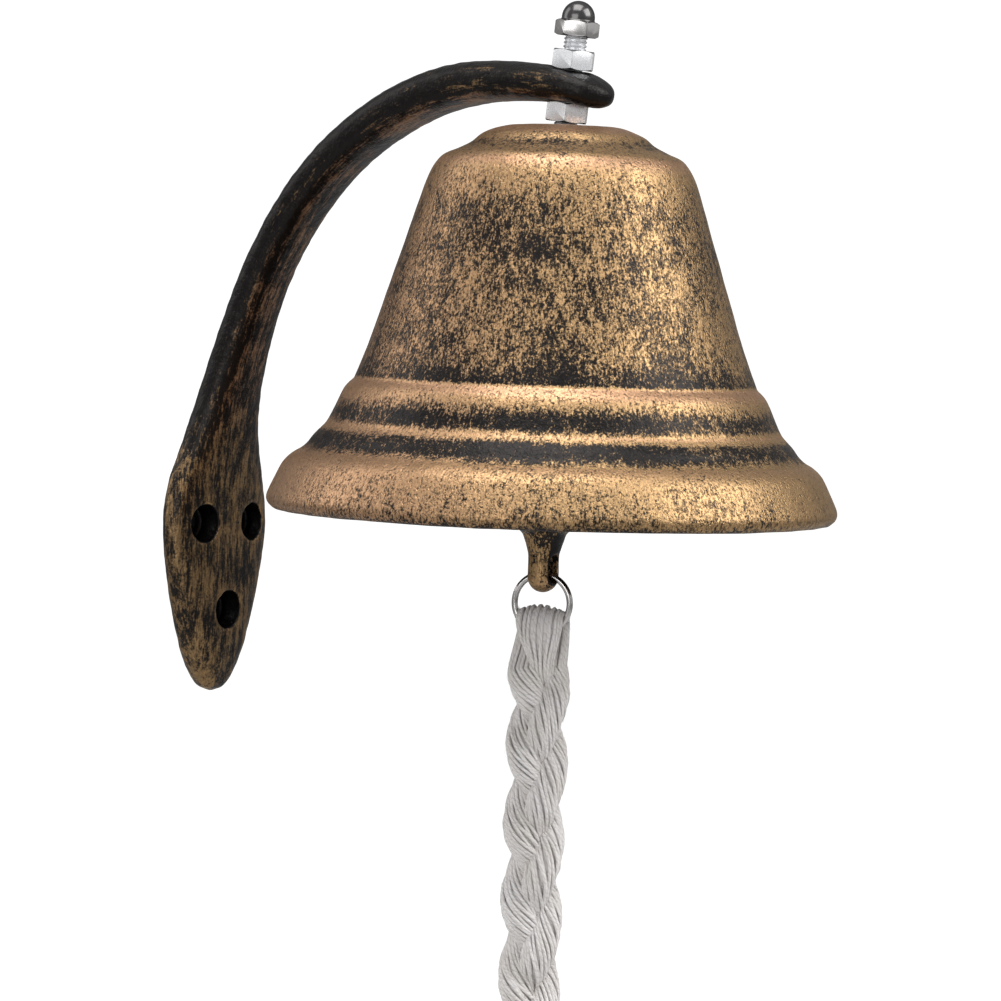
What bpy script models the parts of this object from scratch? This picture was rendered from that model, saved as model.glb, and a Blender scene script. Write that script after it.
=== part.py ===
"""A wall mounted bell: swept bracket, hanging stud, bell, clapper, pull ring and plaited rope.

Metres, +Z up. The wall is the XZ plane at y = 0 and the bracket reaches out along -Y. The origin is on the
wall, midway between the two upper screw holes.
"""

import math

import bmesh
import bpy
from mathutils import Vector

# Clearance that touching pieces keep.
GAP = 0.0003

# Wall plate: a leaf with a flat back.
PLATE_DROP = 0.0590  # upper screws down to the tip
PLATE_HALF_WIDTH = 0.0254
PLATE_HALF_DEPTH = 0.0077
PLATE_OUT = 0.0060  # middle of the casting's depth, from the wall
SCREW_SPACING = 0.0252
SCREW_DROP = 0.0302
SCREW_R = 0.0031
RECESS_R = 0.0065
RECESS_FLOOR = 0.0045

# Arm.
REACH = 0.1475  # wall to the bell's axis
ARM_HALF_WIDTH = 0.0110
ARM_HALF_DEPTH = 0.0070
ARM_END_THICKNESS = 0.0101  # between the two nuts
ARM_END_HALF_WIDTH = 0.0120
NOSE_LENGTH = 0.0155  # stud to the nose's tip
SPOT_FACE_PAST_NUT = 0.0007  # past the nut's corners
SECTION_POWER = 2.5  # 2 is an ellipse, more is squarer

# Bell.
MOUTH_UP = 0.0110  # mouth above the upper screws
MOUTH_R = 0.0931
BELL_HEIGHT = 0.1265
BELL_WALL = 0.0055
BELL_HOLE_PLAY = 0.0014

# Stud with its eye, and the nuts on it.
STUD_LEAN = math.radians(6.0)
STUD_R = 0.0039
EYE_R = 0.0070
EYE_WIRE_R = 0.00275
SHANK_TAIL = 0.0030
NUT_HEIGHT = 0.0064
ROCK_GAP = 0.0012  # lower nut to the crown
BARE_THREAD = 0.0043
CAP_NARROWER = 0.0004  # across flats, than the other nuts
CAP_HEX_HEIGHT = 0.0052
CAP_NECK = 0.0010  # hexagon to the dome's middle
CAP_WALL = 0.0015  # dome past the thread
CAP_TURN = math.radians(30.0)  # how far it is screwed round from the nuts below
WASHER_R = 0.0110
WASHER_HEIGHT = 0.0020
SEAT_SLACK = 0.0013

# Link and clapper.
LINK_WIRE_R = 0.0015
LINK_PLAY = 0.0006
LINK_SPAN = 0.0105
CLAPPER_EYE_R = 0.0055
CLAPPER_EYE_WIRE_R = 0.0022
ROD_R = 0.0038
BALL_R = 0.0170
BALL_ABOVE_MOUTH = 0.0095  # the ball's middle
STEM_R = 0.0051
STEM_BELOW_MOUTH = 0.0258
TAB_THICKNESS = 0.0072
SLOT_HALF_WIDTH = 0.0027
SLOT_HEIGHT = 0.0095
SLOT_FLOOR = 0.0032  # metal below the slot

# Pull ring and rope.
RING_R = 0.00945
RING_WIRE_R = 0.00105
RING_YAW = math.radians(17.0)
ROPE_R = 0.0085
STRAND_R = 0.0036
BIGHT_LEG = 0.0080
BRAID_LENGTH = 0.1900
KNOT_R = 0.0155
KNOT_HEIGHT = 0.0260
TASSEL_TOP_R = 0.0070
TASSEL_R = 0.0120
TASSEL_LENGTH = 0.0450

# Nut sizes go with the thread.
NUT_FLATS = STUD_R / 0.3
CAP_FLATS = NUT_FLATS - CAP_NARROWER
CAP_DOME_R = STUD_R + CAP_WALL
CAP_HEIGHT = CAP_HEX_HEIGHT + CAP_NECK + CAP_DOME_R
CAP_SHELL = 0.48 * CAP_DOME_R
SPOT_FACE_R = NUT_FLATS / math.sqrt(3) + SPOT_FACE_PAST_NUT

# Heights that follow from the sizes above.
CROWN_UP = MOUTH_UP + BELL_HEIGHT
SEAT_UP = CROWN_UP - BELL_WALL  # underside of the crown, where the stud's axis crosses the bell's

# Distances along the stud from the seat, up positive.
LOWER_NUT_AT = BELL_WALL + ROCK_GAP
ARM_UNDER_AT = LOWER_NUT_AT + NUT_HEIGHT + GAP
ARM_TOP_AT = ARM_UNDER_AT + ARM_END_THICKNESS
UPPER_NUT_AT = ARM_TOP_AT + GAP
CAP_AT = UPPER_NUT_AT + NUT_HEIGHT + BARE_THREAD
SEAT_NUT_AT = -(GAP + WASHER_HEIGHT + SEAT_SLACK + NUT_HEIGHT)
EYE_AT = SEAT_NUT_AT - SHANK_TAIL - EYE_R - EYE_WIRE_R


def stud_point(along):
    """World place of a point on the stud's axis."""
    return Vector((0, -REACH - along * math.sin(STUD_LEAN), SEAT_UP + along * math.cos(STUD_LEAN)))


ARM_END = stud_point((ARM_UNDER_AT + ARM_TOP_AT) / 2)
EYE = stud_point(EYE_AT)
LINK_HALF_WIDTH = EYE_WIRE_R + LINK_PLAY + LINK_WIRE_R
LINK_PIVOT = EYE - Vector((0, 0, EYE_R))
CLAPPER_PIVOT = LINK_PIVOT - Vector((0, 0, LINK_SPAN + LINK_HALF_WIDTH))
CLAPPER_EYE = CLAPPER_PIVOT + Vector((0, 0, LINK_WIRE_R + LINK_PLAY + CLAPPER_EYE_WIRE_R - CLAPPER_EYE_R))
TIP_UP = MOUTH_UP - STEM_BELOW_MOUTH
SLOT_BOTTOM = TIP_UP + SLOT_FLOOR
# The ring's wire bends down on both sides of the tab, so its top lies at the middle of the slot's round end.
RING_PIVOT = Vector((0, EYE.y, SLOT_BOTTOM + SLOT_HALF_WIDTH))
RING_CENTRE = RING_PIVOT - Vector((0, 0, RING_R))
RING_BOTTOM = RING_CENTRE - Vector((0, 0, RING_R))
BRAID_TOP = RING_BOTTOM.z - BIGHT_LEG - GAP
BRAID_BOTTOM = BRAID_TOP - BRAID_LENGTH
KNOT_TOP = BRAID_BOTTOM - GAP
TASSEL_TOP = KNOT_TOP - KNOT_HEIGHT - GAP

# The plate's leaf: height as a share of its drop, half width and half depth as shares of its own.
LEAF = (
    (-1.000, 0.030, 0.10),
    (-0.963, 0.225, 0.52),
    (-0.847, 0.430, 0.80),
    (-0.678, 0.615, 0.94),
    (-0.407, 0.830, 0.99),
    (-0.068, 1.000, 0.96),
    (0.203, 0.925, 0.99),
)
# The arm: distance out as a share of the reach, height as a share of the arm end's, half width, half depth.
SWEEP = (
    (0.054, 0.193, 1.54, 1.11),
    (0.078, 0.307, 1.18, 1.04),
    (0.127, 0.461, 0.98, 0.98),
    (0.192, 0.607, 0.96, 0.93),
    (0.290, 0.750, 0.98, 0.96),
    (0.410, 0.865, 1.00, 0.99),
    (0.558, 0.952, 1.00, 1.04),
    (0.705, 1.000, 1.00, 1.03),
    (0.854, 1.012, 1.03, 0.93),
)
# The nose: distance past the stud as a share of its length, half width and half depth as shares of the end's.
NOSE = ((0.61, 0.80, 0.84), (0.90, 0.42, 0.54), (1.00, 0.10, 0.24))
NOSE_DROOP = 0.27  # fall of the nose per length

# The bell's outside, crown to rim: radius as a share of the mouth's, height as a share of the bell's.
OUTLINE = (
    (0.130, 1.000),
    (0.204, 0.996),
    (0.279, 0.977),
    (0.322, 0.952),
    (0.370, 0.934),
    (0.424, 0.914),
    (0.464, 0.870),
    (0.500, 0.794),
    (0.542, 0.694),
    (0.596, 0.571),
    (0.654, 0.438),
    (0.702, 0.345),
    (0.708, 0.336),
    (0.727, 0.323),
    (0.745, 0.304),
    (0.775, 0.255),
    (0.787, 0.236),
    (0.801, 0.219),
    (0.823, 0.202),
    (0.842, 0.187),
    (0.861, 0.168),
    (0.884, 0.153),
    (0.911, 0.141),
    (0.935, 0.126),
    (0.953, 0.107),
    (0.982, 0.063),
    (1.000, 0.030),
    (0.996, 0.012),
    (0.980, 0.000),
)
# The same surface without its ridges, from which the inside is set off by the wall.
PLAIN_LINE = (
    (0.120, 1.000),
    (0.204, 0.998),
    (0.279, 0.977),
    (0.345, 0.946),
    (0.424, 0.914),
    (0.464, 0.870),
    (0.500, 0.794),
    (0.542, 0.694),
    (0.596, 0.571),
    (0.654, 0.438),
    (0.702, 0.340),
    (0.745, 0.270),
    (0.800, 0.195),
    (0.870, 0.115),
    (0.980, 0.000),
)


def material(name, colour, roughness, metallic):
    made = bpy.data.materials.new(name)
    made.use_nodes = True
    shader = made.node_tree.nodes["Principled BSDF"]
    shader.inputs["Base Color"].default_value = (*colour, 1)
    shader.inputs["Roughness"].default_value = roughness
    shader.inputs["Metallic"].default_value = metallic
    return made


def collection(name):
    made = bpy.data.collections.new(name)
    bpy.context.scene.collection.children.link(made)
    return made


def add(mesh, name, home, finish=None):
    """A new object on this mesh or curve, smooth where its faces meet at a shallow angle."""
    obj = bpy.data.objects.new(name, mesh)
    home.objects.link(obj)
    if finish:
        mesh.materials.append(finish)
    if isinstance(mesh, bpy.types.Mesh):
        mesh.shade_smooth()
        mesh.set_sharp_from_angle(angle=math.radians(40))
    return obj


def mesh_from(shape, name):
    mesh = bpy.data.meshes.new(name)
    shape.to_mesh(mesh)
    shape.free()
    return mesh


def smooth_line(points, steps):
    """Points on a smooth curve through the given ones, with this many steps between two of them."""
    points = [Vector(p) for p in points]
    ends = [2 * points[0] - points[1], *points, 2 * points[-1] - points[-2]]
    found = []
    for a, b, c, d in zip(ends, ends[1:], ends[2:], ends[3:]):
        for step in range(steps):
            t = step / steps
            bend = 2 * a - 5 * b + 4 * c - d
            twist = 3 * b - a - 3 * c + d
            found.append(b + 0.5 * ((c - a) * t + bend * t**2 + twist * t**3))
    found.append(points[-1])
    return found


def arc(centre, radius, start, end, steps):
    """Points (r, z) on a circle, both ends among them."""
    turns = [math.radians(start + (end - start) * i / steps) for i in range(steps + 1)]
    return [(centre[0] + radius * math.cos(t), centre[1] + radius * math.sin(t)) for t in turns]


def turned(name, profile, home, finish=None, steps=32, closed=False):
    """A profile (r, z) turned about Z. It runs down its outer side; a closed one comes back up a bore."""
    shape = bmesh.new()
    verts = [shape.verts.new((r, 0, z)) for r, z in profile]
    for a, b in zip(verts, verts[1:]):
        shape.edges.new((a, b))
    if closed:
        shape.edges.new((verts[-1], verts[0]))
    obj = add(mesh_from(shape, name), name, home, finish)
    screw = obj.modifiers.new("Turn", "SCREW")
    screw.steps = steps
    screw.render_steps = steps
    screw.use_merge_vertices = True
    screw.merge_threshold = 0.00001
    return obj


def cut(obj, other, operation="DIFFERENCE"):
    boolean = obj.modifiers.new(operation.title(), "BOOLEAN")
    boolean.operation = operation
    boolean.object = other


def hidden(obj):
    obj.hide_render = True
    obj.display_type = "WIRE"
    return obj


def cylinder(name, radius, depth, home, finish=None, sides=32):
    shape = bmesh.new()
    bmesh.ops.create_cone(
        shape, cap_ends=True, segments=sides, radius1=radius, radius2=radius, depth=depth
    )
    return add(mesh_from(shape, name), name, home, finish)


def block(name, size, home):
    shape = bmesh.new()
    bmesh.ops.create_cube(shape, size=1)
    bmesh.ops.scale(shape, vec=size, verts=shape.verts)
    return add(mesh_from(shape, name), name, home)


def wire(name, points, radius, home, finish, cyclic=False, resolution=2):
    """A round wire or cord through these points."""
    curve = bpy.data.curves.new(name, "CURVE")
    curve.dimensions = "3D"
    spline = curve.splines.new("POLY")
    spline.points.add(len(points) - 1)
    for point, place in zip(spline.points, points):
        point.co = (*place, 1)
    spline.use_cyclic_u = cyclic
    curve.bevel_depth = radius
    curve.bevel_resolution = resolution
    curve.use_fill_caps = not cyclic
    return add(curve, name, home, finish)


def torus(name, radius, wire_radius, home, finish=None, around=32, section=10):
    """A ring about Z: a circle of points swept by a turned loop."""
    loop = [(radius + r, z) for r, z in arc((0, 0), wire_radius, 90, -270 + 360 / section, section - 1)]
    return turned(name, loop, home, finish, steps=around, closed=True)


def bracket_stations():
    """(place, half width, half depth) from the plate's tip up the arm to the nose."""
    rows = [
        (Vector((0, -PLATE_OUT, up * PLATE_DROP)), wide * PLATE_HALF_WIDTH, deep * PLATE_HALF_DEPTH)
        for up, wide, deep in LEAF
    ]
    rows += [
        (Vector((0, -out * REACH, up * ARM_END.z)), wide * ARM_HALF_WIDTH, deep * ARM_HALF_DEPTH)
        for out, up, wide, deep in SWEEP
    ]
    end_half_depth = ARM_END_THICKNESS / 2 + 2 * GAP
    rows.append((ARM_END, ARM_END_HALF_WIDTH, end_half_depth))
    for along, wide, deep in NOSE:
        place = ARM_END + Vector((0, -along * NOSE_LENGTH, -along * NOSE_LENGTH * NOSE_DROOP))
        rows.append((place, wide * ARM_END_HALF_WIDTH, deep * end_half_depth))
    return rows


def section(place, forward, half_width, half_depth, sides):
    """One rounded section of the casting, square to the way the arm runs."""
    inward = Vector((0, -forward.z, forward.y))
    ring = []
    for i in range(sides):
        turn = 2 * math.pi * i / sides
        across = math.copysign(abs(math.cos(turn)) ** (2 / SECTION_POWER), math.cos(turn))
        deep = math.copysign(abs(math.sin(turn)) ** (2 / SECTION_POWER), math.sin(turn))
        ring.append(place + Vector((half_width * across, 0, 0)) + inward * half_depth * deep)
    return ring


def bracket_body(home, finish, sides=24, steps=3):
    """The casting lofted through its stations, before its back is planed and its holes are drilled."""
    rows = bracket_stations()
    places = smooth_line([place for place, _, _ in rows], steps)
    sizes = smooth_line([(wide, deep, 0) for _, wide, deep in rows], steps)
    shape = bmesh.new()
    rings = []
    for i, (place, size) in enumerate(zip(places, sizes)):
        forward = (places[min(i + 1, len(places) - 1)] - places[max(i - 1, 0)]).normalized()
        rings.append([shape.verts.new(p) for p in section(place, forward, size.x, size.y, sides)])
    for lower, upper in zip(rings, rings[1:]):
        for i in range(sides):
            j = (i + 1) % sides
            shape.faces.new((lower[i], lower[j], upper[j], upper[i]))
    shape.faces.new(rings[0])
    shape.faces.new(rings[-1])
    bmesh.ops.recalc_face_normals(shape, faces=shape.faces)
    return add(mesh_from(shape, "wall_bracket"), "wall_bracket", home, finish)


def wall_bracket(home, cutters, finish, stud_axis):
    body = bracket_body(home, finish)
    room = 4 * REACH
    plane = block("wall_side", (room, room, room), cutters)
    plane.location = (0, room / 2, 0)
    cut(body, hidden(plane))
    for name, x, z in (
        ("left", -SCREW_SPACING / 2, 0),
        ("right", SCREW_SPACING / 2, 0),
        ("lower", 0, -SCREW_DROP),
    ):
        depth = 2 * (PLATE_OUT + PLATE_HALF_DEPTH)
        hole = cylinder(f"{name}_screw_hole", SCREW_R, 2 * depth, cutters, sides=24)
        hole.location = (x, 0, z)
        hole.rotation_euler.x = math.pi / 2
        recess = cylinder(f"{name}_screw_recess", RECESS_R, depth, cutters)
        recess.location = (x, -RECESS_FLOOR - depth / 2, z)
        recess.rotation_euler.x = math.pi / 2
        cut(body, hidden(recess))
        cut(body, hidden(hole))
    bore = cylinder("stud_bore", STUD_R + GAP, 3 * ARM_END_THICKNESS, cutters, sides=24)
    bore.location.z = (ARM_UNDER_AT + ARM_TOP_AT) / 2
    bore.parent = stud_axis
    cut(body, hidden(bore))
    for name, bottom, top in (
        ("under", LOWER_NUT_AT, ARM_UNDER_AT),
        ("upper", ARM_TOP_AT, ARM_TOP_AT + NUT_HEIGHT),
    ):
        face = cylinder(f"{name}_spot_face", SPOT_FACE_R, top - bottom, cutters)
        face.location.z = (top + bottom) / 2
        face.parent = stud_axis
        cut(body, hidden(face))
    return body


def hex_blank(name, flats, bottom, height, home, finish, cutters):
    """A hexagonal blank with its corners turned off at both faces."""
    corner = flats / math.sqrt(3)
    blank = cylinder(name, corner, height, home, finish, sides=6)
    blank.location.z = bottom + height / 2
    low, high = bottom, bottom + height
    slope = (corner - flats / 2) * math.tan(math.radians(30))
    lathe = turned(
        f"{name}_corners",
        [
            (0, high),
            (flats / 2, high),
            (corner + GAP, high - slope),
            (corner + GAP, low + slope),
            (flats / 2, low),
            (0, low),
        ],
        cutters,
    )
    cut(blank, hidden(lathe), "INTERSECT")
    return blank, lathe


def hex_nut(name, bottom, home, cutters, finish, stud_axis):
    nut, lathe = hex_blank(name, NUT_FLATS, bottom, NUT_HEIGHT, home, finish, cutters)
    bore = cylinder(f"{name}_bore", STUD_R + GAP, 2 * NUT_HEIGHT, cutters, sides=24)
    bore.location.z = bottom + NUT_HEIGHT / 2
    cut(nut, hidden(bore))
    for piece in (nut, lathe, bore):
        piece.parent = stud_axis
    return nut


def cap_nut(home, cutters, finish, stud_axis):
    """A domed nut with a blind bore."""
    nut, lathe = hex_blank("cap_nut", CAP_FLATS, CAP_AT, CAP_HEX_HEIGHT, home, finish, cutters)
    nut.rotation_euler.z = CAP_TURN
    dome_middle = CAP_AT + CAP_HEIGHT - CAP_DOME_R
    overlap = CAP_HEX_HEIGHT / 2
    dome = turned(
        "cap_dome",
        [(0, CAP_AT + CAP_HEIGHT), *arc((0, dome_middle), CAP_DOME_R, 80, 0, 8)]
        + [(CAP_DOME_R, CAP_AT + overlap), (0, CAP_AT + overlap)],
        cutters,
    )
    cut(nut, hidden(dome), "UNION")
    bore_height = CAP_HEIGHT - CAP_SHELL
    bore = cylinder("cap_nut_bore", STUD_R + GAP, 2 * bore_height, cutters, sides=24)
    bore.location.z = CAP_AT
    cut(nut, hidden(bore))
    for piece in (nut, lathe, dome, bore):
        piece.parent = stud_axis
    return nut


def eye_bolt(home, cutters, finish, stud_axis):
    """The threaded stud that everything hangs on, forged into an eye at its lower end."""
    top = CAP_AT + CAP_HEIGHT - CAP_SHELL - GAP
    chamfer = STUD_R / 5
    low = EYE_AT + EYE_R
    shank = [(0, top), (STUD_R - chamfer, top), (STUD_R, top - chamfer), (STUD_R, low), (0, low)]
    bolt = turned("eye_bolt", shank, home, finish, steps=24)
    eye = torus("eye_loop", EYE_R, EYE_WIRE_R, cutters)
    eye.location.z = EYE_AT
    eye.rotation_euler.y = math.pi / 2
    cut(bolt, hidden(eye), "UNION")
    for piece in (bolt, eye):
        piece.parent = stud_axis
    return bolt


def bell(home, finish):
    """The bell turned about its own upright axis, with the crown bored for the stud."""
    outside = [Vector((MOUTH_R * r, BELL_HEIGHT * h, 0)) for r, h in OUTLINE]
    plain = [Vector((MOUTH_R * r, BELL_HEIGHT * h, 0)) for r, h in PLAIN_LINE]
    hole = STUD_R + BELL_HOLE_PLAY
    inside = []
    for before, here, after in zip(plain, plain[1:], plain[2:]):
        run = (after - before).normalized()
        inside.append(here - BELL_WALL * Vector((-run.y, run.x, 0)))
    inside = [p for p in inside if WASHER_R < p.x and p.y > GAP]
    lip = inside[-1].x
    profile = [(hole, BELL_HEIGHT), *((p.x, p.y) for p in outside), (lip, 0)]
    profile += [(p.x, p.y) for p in reversed(inside)]
    profile += [(WASHER_R + GAP, BELL_HEIGHT - BELL_WALL), (hole, BELL_HEIGHT - BELL_WALL)]
    obj = turned("bell", profile, home, finish, steps=52, closed=True)
    obj.location = (0, -REACH, MOUTH_UP)
    return obj


def seat_washer(home, finish):
    """The washer that the bell turns and rocks on, inside the crown."""
    hole = STUD_R + BELL_HOLE_PLAY
    high = SEAT_UP - GAP
    low = high - WASHER_HEIGHT
    washer = turned(
        "bell_seat_washer",
        [(hole, high), (WASHER_R, high), (WASHER_R, low), (hole, low)],
        home,
        finish,
        closed=True,
    )
    washer.location.y = -REACH
    return washer


def clapper_link(home, finish):
    """A closed oval link: its upper bend lies round the stud's eye, its lower one carries the clapper."""
    upper = arc((0, 0), LINK_HALF_WIDTH, 0, 180, 12)
    lower = arc((0, -LINK_SPAN), LINK_HALF_WIDTH, 180, 360, 12)
    link = wire("clapper_link", [(x, 0, z) for x, z in upper + lower], LINK_WIRE_R, home, finish, cyclic=True)
    link.location = LINK_PIVOT
    return link


def clapper(home, cutters, finish):
    """One casting: upper eye, rod, ball, and a stem flattened and slotted for the pull ring."""
    ball_up = MOUTH_UP + BALL_ABOVE_MOUTH
    rod_top = CLAPPER_EYE.z - CLAPPER_EYE_R
    rod_meets = math.degrees(math.acos(1.25 * ROD_R / BALL_R))
    stem_meets = -math.degrees(math.acos(0.5))
    flare_up = ball_up - BALL_R
    profile = [(0, rod_top), (ROD_R, rod_top), (ROD_R, ball_up + BALL_R + ROD_R)]
    profile += arc((0, ball_up), BALL_R, rod_meets, stem_meets, 12)
    profile += [(1.25 * STEM_R, flare_up), (STEM_R, flare_up - STEM_R), (STEM_R, TIP_UP + STEM_R)]
    profile += arc((0, TIP_UP + STEM_R), STEM_R, -15, -75, 5)
    profile.append((0, TIP_UP))
    body = turned("clapper", [(r, z - CLAPPER_PIVOT.z) for r, z in profile], home, finish)
    body.location = CLAPPER_PIVOT
    eye = torus("clapper_eye", CLAPPER_EYE_R, CLAPPER_EYE_WIRE_R, cutters)
    eye.location = CLAPPER_EYE
    eye.rotation_euler.y = math.pi / 2
    cut(body, hidden(eye), "UNION")
    side = 4 * STEM_R
    tall = flare_up + STEM_R - TIP_UP
    for name, way in (("front", -1), ("back", 1)):
        flat = block(f"clapper_{name}_flat", (side, side, tall), cutters)
        flat.location = (0, EYE.y + way * (TAB_THICKNESS + side) / 2, flare_up + STEM_R / 2 - tall / 2)
        cut(body, hidden(flat))
    slot = cylinder("ring_slot", SLOT_HALF_WIDTH, side, cutters, sides=24)
    for vert in slot.data.vertices:
        if vert.co.y < -GAP:
            vert.co.y -= SLOT_HEIGHT - 2 * SLOT_HALF_WIDTH
    slot.location = (0, EYE.y, SLOT_BOTTOM + SLOT_HALF_WIDTH)
    slot.rotation_euler.x = -math.pi / 2
    cut(body, hidden(slot))
    return body


def pull_ring(home, finish):
    ring = torus("pull_ring", RING_R, RING_WIRE_R, home, finish, around=40, section=8)
    ring.location = RING_CENTRE
    ring.rotation_euler = (0, math.pi / 2, RING_YAW)
    return ring


def rope_bight(home, finish):
    """The turn of rope over the ring's lower wire, its two legs in front of and behind the ring."""
    bend = RING_WIRE_R + STRAND_R + 2.5 * GAP
    facing = Vector((math.cos(RING_YAW), math.sin(RING_YAW), 0))
    over = [(bend, -BIGHT_LEG), *arc((0, 0), bend, 0, 180, 12), (-bend, -BIGHT_LEG)]
    points = [facing * out + Vector((0, 0, up)) for out, up in over]
    bight = wire("rope_bight", points, STRAND_R, home, finish)
    bight.location = RING_BOTTOM
    return bight


def rope_braid(home, finish):
    steps = 12
    points = [(0, 0, -BRAID_LENGTH * i / steps) for i in range(steps + 1)]
    braid = wire("rope_braid", points, ROPE_R, home, finish)
    braid.location = (0, EYE.y, BRAID_TOP)
    return braid


def rope_knot(home, finish):
    half = KNOT_HEIGHT / 2
    belly = arc((0, 0), 1, 60, -60, 8)
    stretch = half / belly[0][1]
    profile = [(0, half), *((KNOT_R * r, stretch * z) for r, z in belly), (0, -half)]
    knot = turned("rope_knot", profile, home, finish, steps=24)
    knot.location = (0, EYE.y, KNOT_TOP - half)
    return knot


def rope_tassel(home, finish):
    shape = ((0, 0), (TASSEL_TOP_R, 0), (TASSEL_R, -0.4 * TASSEL_LENGTH))
    shape += ((TASSEL_R, -0.85 * TASSEL_LENGTH), (0.8 * TASSEL_R, -TASSEL_LENGTH), (0, -TASSEL_LENGTH))
    tassel = turned("rope_tassel", shape, home, finish, steps=24)
    tassel.location = (0, EYE.y, TASSEL_TOP)
    return tassel


def main():
    for obj in list(bpy.data.objects):
        bpy.data.objects.remove(obj)
    home = collection("wall_mounted_bell")
    cutters = collection("cutters")
    aged_arm = material("aged_black_bronze", (0.09, 0.07, 0.055), 0.5, 0.8)
    aged_bell = material("brushed_bronze_over_black", (0.42, 0.26, 0.13), 0.42, 0.9)
    zinc = material("bright_zinc", (0.78, 0.79, 0.80), 0.25, 1.0)
    chrome = material("polished_chrome", (0.70, 0.69, 0.68), 0.12, 1.0)
    steel = material("ring_steel", (0.55, 0.54, 0.53), 0.22, 1.0)
    cotton = material("cotton_rope", (0.66, 0.64, 0.61), 0.95, 0.0)

    stud_axis = bpy.data.objects.new("stud_axis", None)
    stud_axis.location = (0, -REACH, SEAT_UP)
    stud_axis.rotation_euler.x = STUD_LEAN
    home.objects.link(stud_axis)

    wall_bracket(home, cutters, aged_arm, stud_axis)
    eye_bolt(home, cutters, zinc, stud_axis)
    cap_nut(home, cutters, chrome, stud_axis)
    hex_nut("arm_upper_nut", UPPER_NUT_AT, home, cutters, zinc, stud_axis)
    hex_nut("arm_lower_nut", LOWER_NUT_AT, home, cutters, zinc, stud_axis)
    hex_nut("bell_seat_nut", SEAT_NUT_AT, home, cutters, zinc, stud_axis)
    seat_washer(home, zinc)
    bell(home, aged_bell)
    clapper_link(home, steel)
    clapper(home, cutters, aged_bell)
    pull_ring(home, steel)
    rope_bight(home, cotton)
    rope_braid(home, cotton)
    rope_knot(home, cotton)
    rope_tassel(home, cotton)


main()
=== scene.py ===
"""Looks of a wall mounted bell: cast bracket and bell, plated hardware, clapper, pull ring and plaited rope.

Metres, +Z up. The wall is the XZ plane at y = 0 and the bracket reaches out along -Y.
"""

import math
import random

import bmesh
import bpy
import numpy as np
from bpy.props import FloatProperty, FloatVectorProperty, IntProperty, PointerProperty
from mathutils import Matrix, Quaternion, Vector


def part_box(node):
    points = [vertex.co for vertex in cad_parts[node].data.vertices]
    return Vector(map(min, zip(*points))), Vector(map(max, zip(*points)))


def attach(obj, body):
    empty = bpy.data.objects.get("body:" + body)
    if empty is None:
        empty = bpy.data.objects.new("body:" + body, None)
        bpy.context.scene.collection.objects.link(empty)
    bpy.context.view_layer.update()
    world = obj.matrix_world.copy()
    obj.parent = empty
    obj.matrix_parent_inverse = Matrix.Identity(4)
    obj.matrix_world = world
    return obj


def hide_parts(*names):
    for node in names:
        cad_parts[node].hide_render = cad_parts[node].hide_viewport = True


bl_info = {
    "name": "Wall Mounted Bell",
    "version": (1, 0, 0),
    "blender": (4, 5, 0),
    "location": "3D View > Sidebar > Wall Bell",
    "description": "Builds a cast wall bell with its bracket, hardware, clapper and plaited rope",
    "category": "Object",
}

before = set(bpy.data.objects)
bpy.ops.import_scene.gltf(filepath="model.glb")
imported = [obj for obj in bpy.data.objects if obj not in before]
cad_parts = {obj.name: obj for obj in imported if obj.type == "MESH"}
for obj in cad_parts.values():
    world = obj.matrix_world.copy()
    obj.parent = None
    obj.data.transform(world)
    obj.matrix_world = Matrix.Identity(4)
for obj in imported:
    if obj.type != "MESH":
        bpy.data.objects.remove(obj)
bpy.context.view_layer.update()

# The bell hangs on an upright axis; the stud through its crown leans a little out of the wall.
BELL_LOW, BELL_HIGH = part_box("bell")
BELL_AXIS_Y = (BELL_LOW.y + BELL_HIGH.y) / 2
REACH = -BELL_AXIS_Y
SEAT_UP = BELL_HIGH.z - 0.0055
STUD_LEAN = math.radians(6.0)
STUD = Matrix.Translation((0, BELL_AXIS_Y, SEAT_UP)) @ Matrix.Rotation(STUD_LEAN, 4, "X")

# Places along the stud from the seat, up positive.
LOWER_NUT_AT = 0.0067
ARM_UNDER_AT = 0.0134
ARM_TOP_AT = 0.0235
UPPER_NUT_AT = 0.0238
CAP_AT = 0.0345
SEAT_NUT_AT = -0.0100
EYE_AT = -0.02275

HANG_Y = (STUD @ Vector((0, 0, EYE_AT))).y
LINK_PIVOT = Vector((0, HANG_Y, 0.102375))
CLAPPER_PIVOT = Vector((0, HANG_Y, 0.087025))
RING_CENTRE = Vector((0, HANG_Y, -0.01835))
RING_YAW = math.radians(17.0)
ALONG_RING = Vector((math.sin(RING_YAW), -math.cos(RING_YAW), 0))
THROUGH_RING = Vector((math.cos(RING_YAW), math.sin(RING_YAW), 0))


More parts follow.
